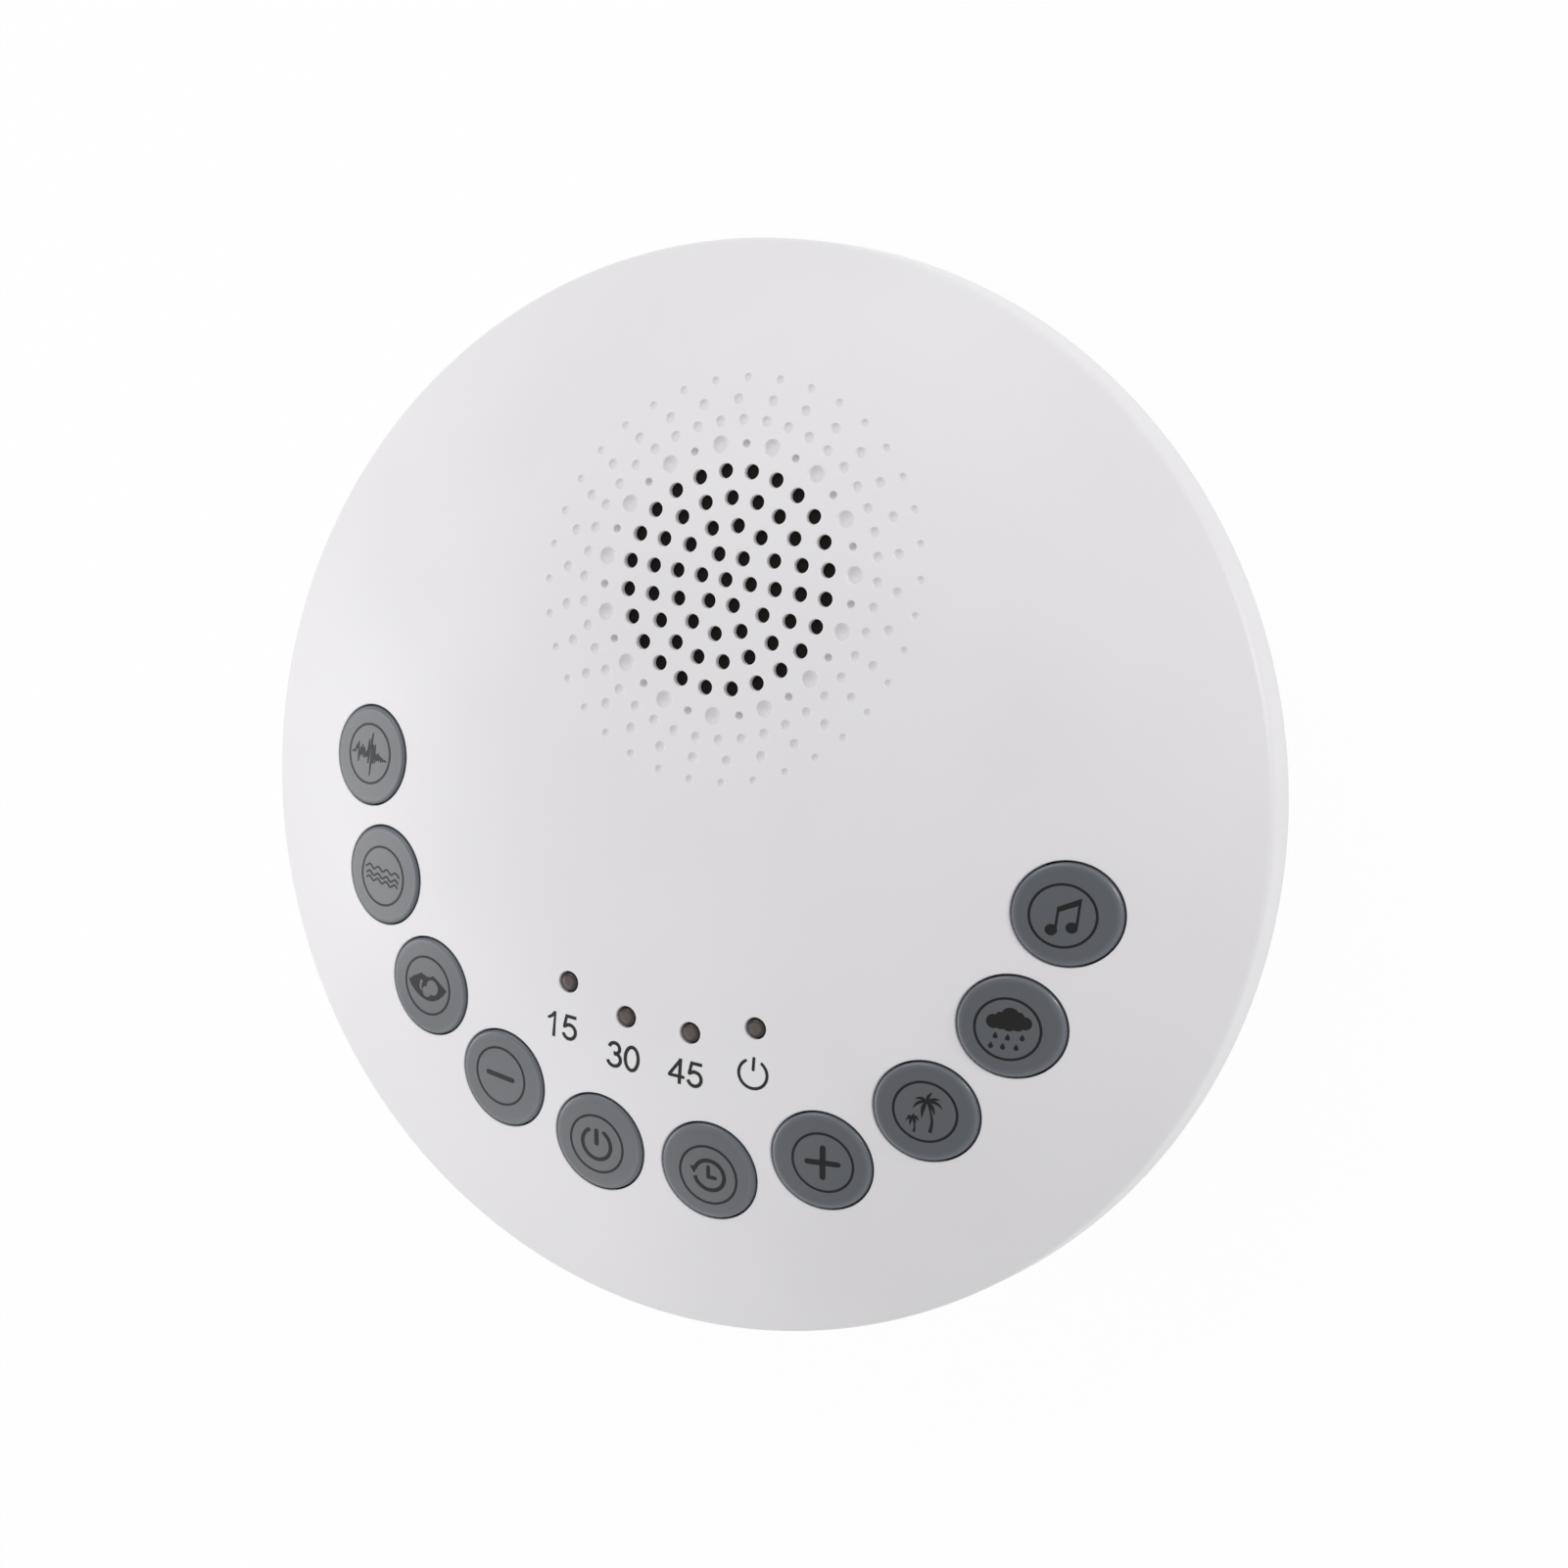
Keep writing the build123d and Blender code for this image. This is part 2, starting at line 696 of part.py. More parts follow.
# Silicone web on the board, with an opening under each key
with BuildPart() as keypad_web:
    with BuildSketch(Plane.XY.offset(board_top)):
        SlotArc(key_line, 2 * (key_bay_radius + web_margin))
        with Locations(*key_places):
            Circle(key_bay_radius, mode=Mode.SUBTRACT)
    extrude(amount=web_thickness)
keep(keypad_web.part, "keypad_web")

# Main board: a half-moon around the speaker
with BuildPart() as main_board:
    with BuildSketch(Plane.XY.offset(board_level)):
        Circle(board_radius)
        with Locations((0, board_back_y + board_radius)):
            Rectangle(2 * board_radius, 2 * board_radius, mode=Mode.SUBTRACT)
        with Locations(*speaker_place):
            Circle(speaker_radius + board_notch_gap, mode=Mode.SUBTRACT)
        with Locations(*case_screw_places[:2]):
            Circle(case_boss_radius + board_clearance, mode=Mode.SUBTRACT)
        with Locations(*board_screw_places):
            Circle(small_shank_radius, mode=Mode.SUBTRACT)
    extrude(amount=board_thickness)
keep(main_board.part, "main_board")

# Parts on the underside of the board
with BuildPart() as sound_chip:
    extrude(rounds(board_level, blob_radius, [(0, blob_y)]), amount=-blob_height)
    fillet(sound_chip.edges().sort_by(Axis.Z)[0], blob_height / 2)
keep(sound_chip.part, "sound_chip")

with BuildPart() as amplifier_chip:
    chip_outline = squares(board_level, amplifier_width, amplifier_length, [amplifier_place])
    extrude(chip_outline, amount=-amplifier_height)
keep(amplifier_chip.part, "amplifier_chip")

with BuildPart() as capacitors:
    extrude(rounds(board_level, capacitor_radius, capacitor_places), amount=-capacitor_height)
keep(capacitors.part, "capacitors")

# Lamps on the board, and the light guide over them
with BuildPart() as lamps:
    extrude(squares(board_top, lamp_size, lamp_size, lamp_places), amount=lamp_height)
keep(lamps.part, "lamps")

with BuildPart() as light_guide:
    guide_span = (lamp_count - 1) * lamp_pitch + 2 * guide_leg_angle
    guide_line = CenterArc(
        (0, key_arc_y), lamp_arc_radius, -90 - guide_span / 2, guide_span, mode=Mode.PRIVATE
    )
    with BuildSketch(Plane.XY.offset(bar_level)):
        SlotArc(guide_line, guide_bar_width)
    extrude(amount=guide_bar_thickness)
    for lamp_place in lamp_places:
        post_top = dome_level(math.hypot(*lamp_place)) - lamp_recess
        extrude(rounds(bar_level, guide_post_radius, [lamp_place]), amount=post_top - bar_level)
    leg_places = [on_arc(lamp_arc_radius, -90 + end * guide_span / 2, key_arc_y) for end in (-1, 1)]
    extrude(rounds(board_top, guide_leg_radius, leg_places), amount=bar_level - board_top)
keep(light_guide.part, "light_guide")

# Speaker frame: a pressed basket with four windows
with BuildPart() as speaker_frame:
    with BuildSketch(speaker_plane):
        with BuildLine():
            Polyline(
                (speaker_radius, speaker_front),
                (speaker_radius, clamp_seat),
                (rim_inner_radius, clamp_seat),
                (basket_seat_radius, basket_base),
                (basket_hole_radius, basket_base),
                (basket_hole_radius, basket_base + basket_wall),
                (basket_seat_radius - basket_wall, basket_base + basket_wall),
                (rim_inner_radius - basket_wall, speaker_front),
                close=True,
            )
        make_face()
    revolve(axis=speaker_axis)
    window_level = (basket_base + basket_wall + clamp_seat) / 2
    for side in ((1, 1, 0), (1, -1, 0)):
        with BuildSketch(Plane(origin=(0, grille_y, window_level), z_dir=side)):
            Rectangle(window_width, window_height)
        extrude(amount=speaker_radius, both=True, mode=Mode.SUBTRACT)
keep(speaker_frame.part, "speaker_frame")

with BuildPart() as speaker_plate:
    extrude(rounds(plate_level, magnet_radius, speaker_place), amount=plate_thickness)
    extrude(
        rounds(plate_level, plate_hole_radius, speaker_place), amount=plate_thickness, mode=Mode.SUBTRACT
    )
keep(speaker_plate.part, "speaker_plate")

with BuildPart() as speaker_magnet:
    extrude(rounds(magnet_level, magnet_radius, speaker_place), amount=magnet_thickness)
    extrude(
        rounds(magnet_level, magnet_hole_radius, speaker_place), amount=magnet_thickness, mode=Mode.SUBTRACT
    )
keep(speaker_magnet.part, "speaker_magnet")

with BuildPart() as speaker_yoke:
    extrude(rounds(yoke_level, magnet_radius, speaker_place), amount=yoke_thickness)
    extrude(rounds(magnet_level, pole_radius, speaker_place), amount=basket_base - magnet_level)
keep(speaker_yoke.part, "speaker_yoke")

with BuildPart() as voice_coil:
    extrude(rounds(coil_top - coil_height, coil_radius, speaker_place), amount=coil_height)
    extrude(
        rounds(coil_top - coil_height, coil_radius - coil_wall, speaker_place),
        amount=coil_height,
        mode=Mode.SUBTRACT,
    )
keep(voice_coil.part, "voice_coil")

# Cone, surround and dust cap
with BuildPart() as speaker_cone:
    with BuildSketch(speaker_plane):
        with BuildLine():
            Polyline(
                (coil_radius + cone_gap, cone_low),
                (coil_radius + cone_gap, coil_top),
                (cone_radius, speaker_front),
                (cone_radius + surround_thickness, speaker_front),
                (cone_radius + surround_thickness, speaker_front - cone_wall),
                close=True,
            )
        make_face()
    revolve(axis=speaker_axis)
keep(speaker_cone.part, "speaker_cone")

with BuildPart() as speaker_surround:
    roll_outer = cone_radius + surround_width
    with BuildSketch(speaker_plane):
        with BuildLine():
            roll_middle = cone_radius + surround_width / 2
            ThreePointArc(
                (cone_radius, speaker_front),
                (roll_middle, speaker_front + surround_rise),
                (roll_outer, speaker_front + surround_thickness),
            )
            Polyline(
                (roll_outer, speaker_front + surround_thickness),
                (speaker_radius - surround_margin, speaker_front + surround_thickness),
                (speaker_radius - surround_margin, speaker_front),
                (roll_outer - surround_thickness, speaker_front),
            )
            ThreePointArc(
                (roll_outer - surround_thickness, speaker_front),
                (roll_middle, speaker_front + surround_rise - surround_thickness),
                (cone_radius + surround_thickness, speaker_front),
            )
            Line((cone_radius + surround_thickness, speaker_front), (cone_radius, speaker_front))
        make_face()
    revolve(axis=speaker_axis)
keep(speaker_surround.part, "speaker_surround")

with BuildPart() as dust_cap:
    with BuildSketch(speaker_plane):
        with BuildLine():
            inner_radius = coil_radius - cap_wall
            RadiusArc(
                (0, coil_top + cap_rise),
                (coil_radius, coil_top),
                (coil_radius**2 + cap_rise**2) / (2 * cap_rise),
            )
            Line((coil_radius, coil_top), (inner_radius, coil_top))
            inner_rise = cap_rise - cap_wall
            RadiusArc(
                (inner_radius, coil_top),
                (0, coil_top + inner_rise),
                -(inner_radius**2 + inner_rise**2) / (2 * inner_rise),
            )
            Line((0, coil_top + inner_rise), (0, coil_top + cap_rise))
        make_face()
    revolve(axis=speaker_axis)
keep(dust_cap.part, "dust_cap")

with BuildPart() as speaker_gasket:
    gasket_level = speaker_front + surround_thickness
    extrude(rounds(gasket_level, speaker_radius, speaker_place), amount=gasket_thickness)
    extrude(
        rounds(gasket_level, speaker_radius - speaker_ledge, speaker_place),
        amount=gasket_thickness,
        mode=Mode.SUBTRACT,
    )
keep(speaker_gasket.part, "speaker_gasket")

with BuildPart() as speaker_terminals:
    terminal_y = grille_y - terminal_seat_radius - terminal_thickness / 2 - terminal_gap
    terminal_outline = squares(terminal_top, terminal_width, terminal_thickness, [(0, terminal_y)])
    extrude(terminal_outline, amount=-terminal_height)
keep(speaker_terminals.part, "speaker_terminals")

# Clamp ring with three ears that holds the speaker up against its ledge
with BuildPart() as speaker_clamp:
    with BuildSketch(Plane.XY.offset(clamp_seat - clamp_thickness)):
        with Locations(*speaker_place):
            Circle(clamp_outer_radius)
        with Locations(*clamp_screw_places):
            Circle(clamp_ear_radius)
        with Locations(*speaker_place):
            Circle(clamp_inner_radius, mode=Mode.SUBTRACT)
        with Locations(*clamp_screw_places):
            Circle(small_shank_radius, mode=Mode.SUBTRACT)
    extrude(amount=clamp_thickness)
keep(speaker_clamp.part, "speaker_clamp")

# Cells lie side by side, and each points the other way from its neighbour
with BuildPart() as cells:
    for index, cell_y in enumerate(cell_ys):
        way = 1 if index % 2 == 0 else -1
        start_x = -way * (cell_length + cell_nub_height) / 2
        with BuildSketch(Plane.YZ.offset(start_x)):
            with Locations((cell_y, cell_level)):
                Circle(cell_diameter / 2)
        extrude(amount=way * cell_length)
        with BuildSketch(Plane.YZ.offset(start_x + way * cell_length)):
            with Locations((cell_y, cell_level)):
                Circle(cell_nub_radius)
        extrude(amount=way * cell_nub_height)
    chamfer(cells.edges().filter_by(GeomType.CIRCLE).group_by(SortBy.RADIUS)[-1], cell_chamfer)
keep(cells.part, "battery_cells")

# Contacts: a plate with a bent leaf for each cell end, and one solder tab at each end of the chain
for end, side_name in ((1, "right"), (-1, "left")):
    wall_x = end * bay_length / 2
    with BuildPart() as contacts:
        plate_middle_x = wall_x - end * contact_thickness / 2
        plate_places = [(plate_middle_x, y) for y in cell_ys]
        extrude(
            squares(cell_level - contact_height / 2, contact_thickness, contact_width, plate_places),
            amount=contact_height,
        )
        leaf_root = wall_x - end * contact_thickness
        leaf_tip = wall_x - end * (contact_room - leaf_gap)
        leaf_back = leaf_tip + end * contact_thickness
        for cell_y in cell_ys:
            with BuildSketch(Plane.XZ.offset(-cell_y)):
                with BuildLine():
                    Polyline(
                        (leaf_root, cell_level + leaf_height / 2),
                        (leaf_tip, cell_level),
                        (leaf_root, cell_level - leaf_height / 2),
                        (leaf_root, cell_level - leaf_height / 2 + contact_thickness),
                        (leaf_back, cell_level),
                        (leaf_root, cell_level + leaf_height / 2 - contact_thickness),
                        close=True,
                    )
                make_face()
            extrude(amount=leaf_width / 2, both=True)
        tab_foot = cell_level + contact_height / 2
        tab_rise = bay_top + tab_height - tab_foot
        extrude(
            squares(tab_foot, contact_thickness, tab_width, [(plate_middle_x, bay_y + end * cell_pitch)]),
            amount=tab_rise,
        )
    keep(contacts.part, f"contacts_{side_name}")

# Power jack, its centre pin and its board
with BuildPart() as power_jack:
    with BuildSketch(rear_plane.offset(-pocket_wall - jack_gap)):
        with Locations((0, jack_z)):
            Rectangle(jack_width, jack_height)
    extrude(amount=-jack_length)
    with BuildSketch(rear_plane):
        with Locations((0, jack_z)):
            Circle(jack_nose_radius)
    extrude(amount=-pocket_wall - jack_gap)
    with BuildSketch(rear_plane):
        with Locations((0, jack_z)):
            Circle(jack_bore_radius)
    extrude(amount=-jack_bore_depth, mode=Mode.SUBTRACT)
keep(power_jack.part, "power_jack")

with BuildPart() as jack_pin:
    with BuildSketch(rear_plane.offset(-jack_bore_depth)):
        with Locations((0, jack_z)):
            Circle(jack_pin_radius)
    extrude(amount=jack_pin_length)
keep(jack_pin.part, "jack_pin")

with BuildPart() as power_board:
    extrude(
        squares(power_board_level, power_board_width, power_board_length, [(0, power_board_y)]),
        amount=power_board_thickness,
    )
    extrude(
        rounds(power_board_level, small_shank_radius, power_screw_places),
        amount=power_board_thickness,
        mode=Mode.SUBTRACT,
    )
keep(power_board.part, "power_board")

# Feet, glued into their recesses
with BuildPart() as rubber_feet:
    extrude(rounds(0, foot_radius, foot_places), amount=underside + foot_recess)
    fillet(rubber_feet.edges().group_by(Axis.Z)[0], foot_edge_round)
keep(rubber_feet.part, "rubber_feet")

# Screws
keep(
    screws(
        case_screw_radius,
        case_screw_length,
        case_head_radius,
        case_head_height,
        case_screw_places,
        screw_level,
        1,
    ),
    "case_screws",
)
small_sets = [
    ("board_screws", board_screw_length, board_screw_places, board_level, 1),
    ("clamp_screws", clamp_screw_length, clamp_screw_places, clamp_seat - clamp_thickness, 1),
    ("power_board_screws", power_screw_length, power_screw_places, power_board_top, -1),
]
for set_name, length, places, seat, way in small_sets:
    keep(
        screws(small_screw_radius, length, small_head_radius, small_head_height, places, seat, way),
        set_name,
    )
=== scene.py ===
"""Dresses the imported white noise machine: case top, keys, signs, lamp labels, finishes and studio."""

import json
import logging
import math
from dataclasses import dataclass, field
from enum import Enum
from typing import Callable, Iterable, Sequence

import bpy
import numpy as np
from mathutils import Matrix, Vector
from mathutils.geometry import delaunay_2d_cdt


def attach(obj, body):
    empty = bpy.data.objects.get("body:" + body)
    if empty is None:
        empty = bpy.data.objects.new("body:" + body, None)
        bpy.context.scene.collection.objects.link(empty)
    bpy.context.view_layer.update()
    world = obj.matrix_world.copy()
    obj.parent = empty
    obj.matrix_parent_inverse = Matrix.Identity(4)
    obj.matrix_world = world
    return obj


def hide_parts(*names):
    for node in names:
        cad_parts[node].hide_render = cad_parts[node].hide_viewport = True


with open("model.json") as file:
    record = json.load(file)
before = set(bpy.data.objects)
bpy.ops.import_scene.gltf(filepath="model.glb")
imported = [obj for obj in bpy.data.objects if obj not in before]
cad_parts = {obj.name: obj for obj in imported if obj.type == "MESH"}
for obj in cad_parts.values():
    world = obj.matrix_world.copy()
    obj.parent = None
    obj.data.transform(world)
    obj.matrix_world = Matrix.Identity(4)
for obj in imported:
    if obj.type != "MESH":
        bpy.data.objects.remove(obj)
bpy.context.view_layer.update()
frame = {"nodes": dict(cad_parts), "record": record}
log = logging.getLogger("noise_machine")

MM = 0.001
TINY = 1e-9
Point = tuple[float, float]
Loop = list[Point]
Colour = tuple[float, float, float]


def shade(red: int, green: int, blue: int) -> Colour:
    """Linear colour of a shade.

    Args:
        red: red from 0 to 255.
        green: green from 0 to 255.
        blue: blue from 0 to 255.

    Returns:
        The colour, each channel from 0 to 1.
    """

    def linear(value: float) -> float:
        """Linear light of one channel from 0 to 1."""
        return value / 12.92 if value <= 0.04045 else ((value + 0.055) / 1.055) ** 2.4

    return (linear(red / 255), linear(green / 255), linear(blue / 255))


# ---- Form of the dome ----


@dataclass(frozen=True)
class Dome:
    """Outer face of the case top: a flat crown arc that runs into a tighter shoulder arc, in metres."""

    case_radius: float = 62.5 * MM
    rim_level: float = 29.0 * MM
    skirt_level: float = 23.8 * MM
    crown_radius: float = 242.0 * MM
    crown_reach: float = 20.5 * MM
    shoulder_radius: float = 83.5 * MM
    wall: float = 2.2 * MM
    rim_round: float = 1.4 * MM
    steepest: float = 0.999

    @property
    def blend(self) -> float:
        """Angle from the axis at which the crown arc meets the shoulder arc."""
        return math.asin(self.crown_reach / self.crown_radius)

    def drop(self, radius: float, sunk: float = 0.0) -> float:
        """How far the dome, sunk by an amount, lies below its crown.

        Args:
            radius: distance from the axis.
            sunk: how far the face lies inside the outer one.

        Returns:
            The drop from the crown of the outer face.
        """
        if radius <= (self.crown_radius - sunk) * math.sin(self.blend):
            return self.crown_radius - math.sqrt((self.crown_radius - sunk) ** 2 - radius**2)
        shift = self.crown_radius - self.shoulder_radius
        along = radius - shift * math.sin(self.blend)
        rise = math.sqrt((self.shoulder_radius - sunk) ** 2 - along**2)
        return self.crown_radius - shift * math.cos(self.blend) - rise

    @property
    def crown_level(self) -> float:
        """Height of the top of the dome."""
        return self.rim_level + self.drop(self.case_radius)

    def level(self, radius: float, sunk: float = 0.0) -> float:
        """Height of the dome, sunk by an amount, at a radius."""
        return self.crown_level - self.drop(radius, sunk)

    def normals(self, places: np.ndarray, sunk: np.ndarray) -> np.ndarray:
        """Outward normals of the dome.

        Args:
            places: points on the dome, one row each.
            sunk: how far each point's face is sunk.

        Returns:
            Unit vectors, one row each.
        """
        radius = np.hypot(places[:, 0], places[:, 1])
        safe = np.maximum(radius, TINY)
        crown = radius <= (self.crown_radius - sunk) * math.sin(self.blend)
        shift = (self.crown_radius - self.shoulder_radius) * math.sin(self.blend)
        lean = np.where(
            crown,
            radius / (self.crown_radius - sunk),
            (radius - shift) / (self.shoulder_radius - sunk),
        )
        lean = np.clip(lean, 0.0, self.steepest)
        rise = np.sqrt(1 - lean**2)
        return np.stack([places[:, 0] / safe * lean, places[:, 1] / safe * lean, rise], axis=1)


DOME = Dome()


# ---- Meshes that are laid out flat and then raised onto the dome ----


@dataclass(frozen=True)
class Row:
    """One ring of a turned form.

    Its height is counted from the dome, sunk by an amount, or from the ground where it doesn't ride.
    """

    radius: float
    level: float = 0.0
    rides: bool = True
    sunk: float = 0.0
    # Share of painted light or shade on this row: colour lightened or darkened to stand in for how light
    # falls
    worn: float = 0.0


class Cap(Enum):
    """Which end of a turned form a disc closes: the first, facing up, or the last, facing down."""

    NONE = "none"
    FIRST = "first"
    LAST = "last"
    BOTH = "both"


def standing(radius: float, level: float) -> Row:
    """Row at a height above the ground, whatever the dome does."""
    return Row(radius, level, rides=False)


def mouth(radius: float, edge: float, steps: int = 3) -> list[Row]:
    """Rows of a rounded mouth that turns from the dome down into a hole.

    Args:
        radius: radius of the hole below its mouth.
        edge: radius of the rounding.
        steps: number of facets across the rounding.

    Returns:
        Rows from the dome inwards and down.
    """
    turns = [math.pi / 2 * step / steps for step in range(steps + 1)]
    return [Row(radius + edge * (1 - math.sin(turn)), -edge * (1 - math.cos(turn))) for turn in turns]


def circle(centre: Point, radius: float, segments: int) -> Loop:
    """Points round a circle, from the +X side and anticlockwise."""
    turns = [2 * math.pi * index / segments for index in range(segments)]
    return [(centre[0] + radius * math.cos(turn), centre[1] + radius * math.sin(turn)) for turn in turns]


def arc(centre: Point, radius: float, start: float, end: float, steps: int = 12) -> Loop:
    """Points along an arc between two angles in degrees."""
    turns = [math.radians(start + (end - start) * step / steps) for step in range(steps + 1)]
    return [(centre[0] + radius * math.cos(turn), centre[1] + radius * math.sin(turn)) for turn in turns]


def anticlockwise(loop: Loop) -> Loop:
    """The loop, turned round where it runs clockwise."""
    area = sum(a[0] * b[1] - b[0] * a[1] for a, b in zip(loop, loop[1:] + loop[:1]))
    return loop if area > 0 else loop[::-1]


WHOLE_HULL = 0
SAME_POINT = 1e-6


def fill(
    solids: Sequence[Loop], cuts: Sequence[Loop], inner: Sequence[Point] = ()
) -> tuple[Loop, list[tuple[int, ...]]]:
    """Triangles that cover some outlines and leave others open.

    Args:
        solids: outlines that are filled, where they overlap as one.
        cuts: outlines that stay open.
        inner: further points that the triangles pass through.

    Returns:
        The corner points and the triangles, anticlockwise.
    """
    points: Loop = list(inner)
    faces = []
    for loop in [*solids, *cuts]:
        ordered = anticlockwise(list(loop))
        faces.append(list(range(len(points), len(points) + len(ordered))))
        points.extend(ordered)
    scaled = [Vector((x / MM, y / MM)) for x, y in points]
    verts, _, tris, _, _, owners = delaunay_2d_cdt(scaled, [], faces, WHOLE_HULL, SAME_POINT)
    keep = []
    for tri, owner in zip(tris, owners):
        in_solid = any(index < len(solids) for index in owner)
        in_cut = any(index >= len(solids) for index in owner)
        if in_solid and not in_cut:
            keep.append(tuple(tri))
    used = sorted({index for tri in keep for index in tri})
    place = {old: new for new, old in enumerate(used)}
    corners = [(verts[old].x * MM, verts[old].y * MM) for old in used]
    return corners, [tuple(place[index] for index in tri) for tri in keep]


class Blank:
    """A mesh laid out flat, with what raises each of its points onto the dome."""

    def __init__(self, name: str) -> None:
        """Starts an empty blank.

        Args:
            name: its name.
        """
        self.name = name
        self.places: list[tuple[float, float, float]] = []
        self.faces: list[tuple[int, ...]] = []
        self.rides: list[float] = []
        self.sunk: list[float] = []
        self.sheet: list[float] = []
        # Painted light and shade of each point
        self.worn: list[float] = []

    def point(self, place: Point, row: Row, sheet: float = 0.0) -> int:
        """Adds a point.

        Args:
            place: where it lies in the flat.
            row: its height, its wear and what it rides on.
            sheet: one where the face around it follows the dome.

        Returns:
            Its index.
        """
        self.places.append((place[0], place[1], row.level))
        self.rides.append(1.0 if row.rides else 0.0)
        self.sunk.append(row.sunk)
        self.sheet.append(sheet)
        self.worn.append(row.worn)
        return len(self.places) - 1

    def turn(self, centre: Point, rows: Sequence[Row], segments: int, cap: Cap = Cap.NONE) -> None:
        """Adds a turned form.

        Args:
            centre: its axis.
            rows: its rings, outwards along a face that looks up and downwards along one that looks out.
            segments: number of facets round it.
            cap: the ends that a disc closes.
        """
        rings = []
        for row in rows:
            sheet = 1.0 if row.rides and row.level == 0.0 else 0.0
            rings.append([self.point(place, row, sheet) for place in circle(centre, row.radius, segments)])
        for upper, lower in zip(rings, rings[1:]):
            for index in range(segments):
                after = (index + 1) % segments
                self.faces.append((upper[index], lower[index], lower[after], upper[after]))
        if cap in (Cap.FIRST, Cap.BOTH):
            self.faces.append(tuple(rings[0]))
        if cap in (Cap.LAST, Cap.BOTH):
            self.faces.append(tuple(reversed(rings[-1])))

    def cover(
        self, solids: Sequence[Loop], cuts: Sequence[Loop], inner: Sequence[Point], sunk: float
    ) -> None:
        """Adds a sheet that follows the dome.

        Args:
            solids: outlines that it fills.
            cuts: outlines that it leaves open.
            inner: further points that it passes through.
            sunk: how far it lies below the outer face; a sunk sheet faces down.
        """
        points, tris = fill(solids, cuts, inner)
        first = len(self.places)
        for place in points:
            self.point(place, Row(0.0, sunk=sunk), sheet=1.0)
        for tri in tris:
            corners = [first + index for index in tri]
            self.faces.append(tuple(corners if sunk <= 0 else corners[::-1]))

    def slab(self, solids: Sequence[Loop], cuts: Sequence[Loop], top: Row, bottom: Row) -> None:
        """Adds a thin closed layer over some outlines.

        Args:
            solids: outlines that it fills.
            cuts: outlines that it leaves open.
            top: height of its upper face.
            bottom: height of its lower face.
        """
        points, tris = fill(solids, cuts)
        upper = [self.point(place, top, 1.0) for place in points]
        lower = [self.point(place, bottom) for place in points]
        edges = {(tri[k], tri[(k + 1) % 3]) for tri in tris for k in range(3)}
        for tri in tris:
            self.faces.append(tuple(upper[index] for index in tri))
            self.faces.append(tuple(lower[index] for index in reversed(tri)))
        for start, end in sorted(edges):
            if (end, start) not in edges:
                self.faces.append((upper[start], lower[start], lower[end], upper[end]))

    def as_object(self) -> bpy.types.Object:
        """Makes a mesh of the blank.

        Returns:
            The object, with the blank's values as attributes.
        """
        mesh = bpy.data.meshes.new(self.name)
        mesh.from_pydata(self.places, [], self.faces)
        # The last attribute carries the painted light and shade on to the material
        kinds = (("rides", self.rides), ("sunk", self.sunk), ("sheet", self.sheet), ("worn", self.worn))
        for key, values in kinds:
            layer = mesh.attributes.new(key, "FLOAT", "POINT")
            layer.data.foreach_set("value", values)
        made = bpy.data.objects.new(self.name, mesh)
        bpy.context.scene.collection.objects.link(made)
        return made


# ---- Node trees ----


class Wiring:
    """Short way to add nodes to a tree and join them."""

    def __init__(self, tree: bpy.types.NodeTree) -> None:
        """Starts wiring a tree."""
        self.tree = tree

    def add(self, kind: str, inputs: dict | None = None, **settings: object) -> bpy.types.Node:
        """Adds a node.

        Args:
            kind: the node's type.
            inputs: a value or a socket for each input, by name or number.
            settings: the node's own properties.

        Returns:
            The new node.
        """
        node = self.tree.nodes.new(kind)
        for key, value in settings.items():
            setattr(node, key, value)
        for key, value in (inputs or {}).items():
            if isinstance(value, bpy.types.NodeSocket):
                self.tree.links.new(value, node.inputs[key])
            else:
                node.inputs[key].default_value = value
        return node

    def math(self, operation: str, *values: object) -> bpy.types.NodeSocket:
        """Result of a math node on values or sockets."""
        return self.add("ShaderNodeMath", dict(enumerate(values)), operation=operation).outputs[0]

    def link(self, source: bpy.types.NodeSocket, target: bpy.types.NodeSocket) -> None:
        """Joins two sockets."""
        self.tree.links.new(source, target)


def new_tree(name: str, kind: str, sockets: dict[str, str], results: dict[str, str]) -> bpy.types.NodeTree:
    """Empty node group with named inputs and outputs.

    Args:
        name: name of the group.
        kind: type of the node tree.
        sockets: type of each input, by name.
        results: type of each output, by name.

    Returns:
        The group.
    """
    tree = bpy.data.node_groups.new(name, kind)
    for key, socket_type in sockets.items():
        tree.interface.new_socket(key, in_out="INPUT", socket_type=socket_type)
    for key, socket_type in results.items():
        tree.interface.new_socket(key, in_out="OUTPUT", socket_type=socket_type)
    return tree


FLOAT = "NodeSocketFloat"
GEOMETRY = "NodeSocketGeometry"
# Sockets of a mix node that holds colours
MIX_SHARE, MIX_FIRST, MIX_SECOND, MIX_RESULT = 0, 6, 7, 2
DOME_SIZES = ("Crown Level", "Crown Radius", "Shoulder Radius", "Blend Angle")


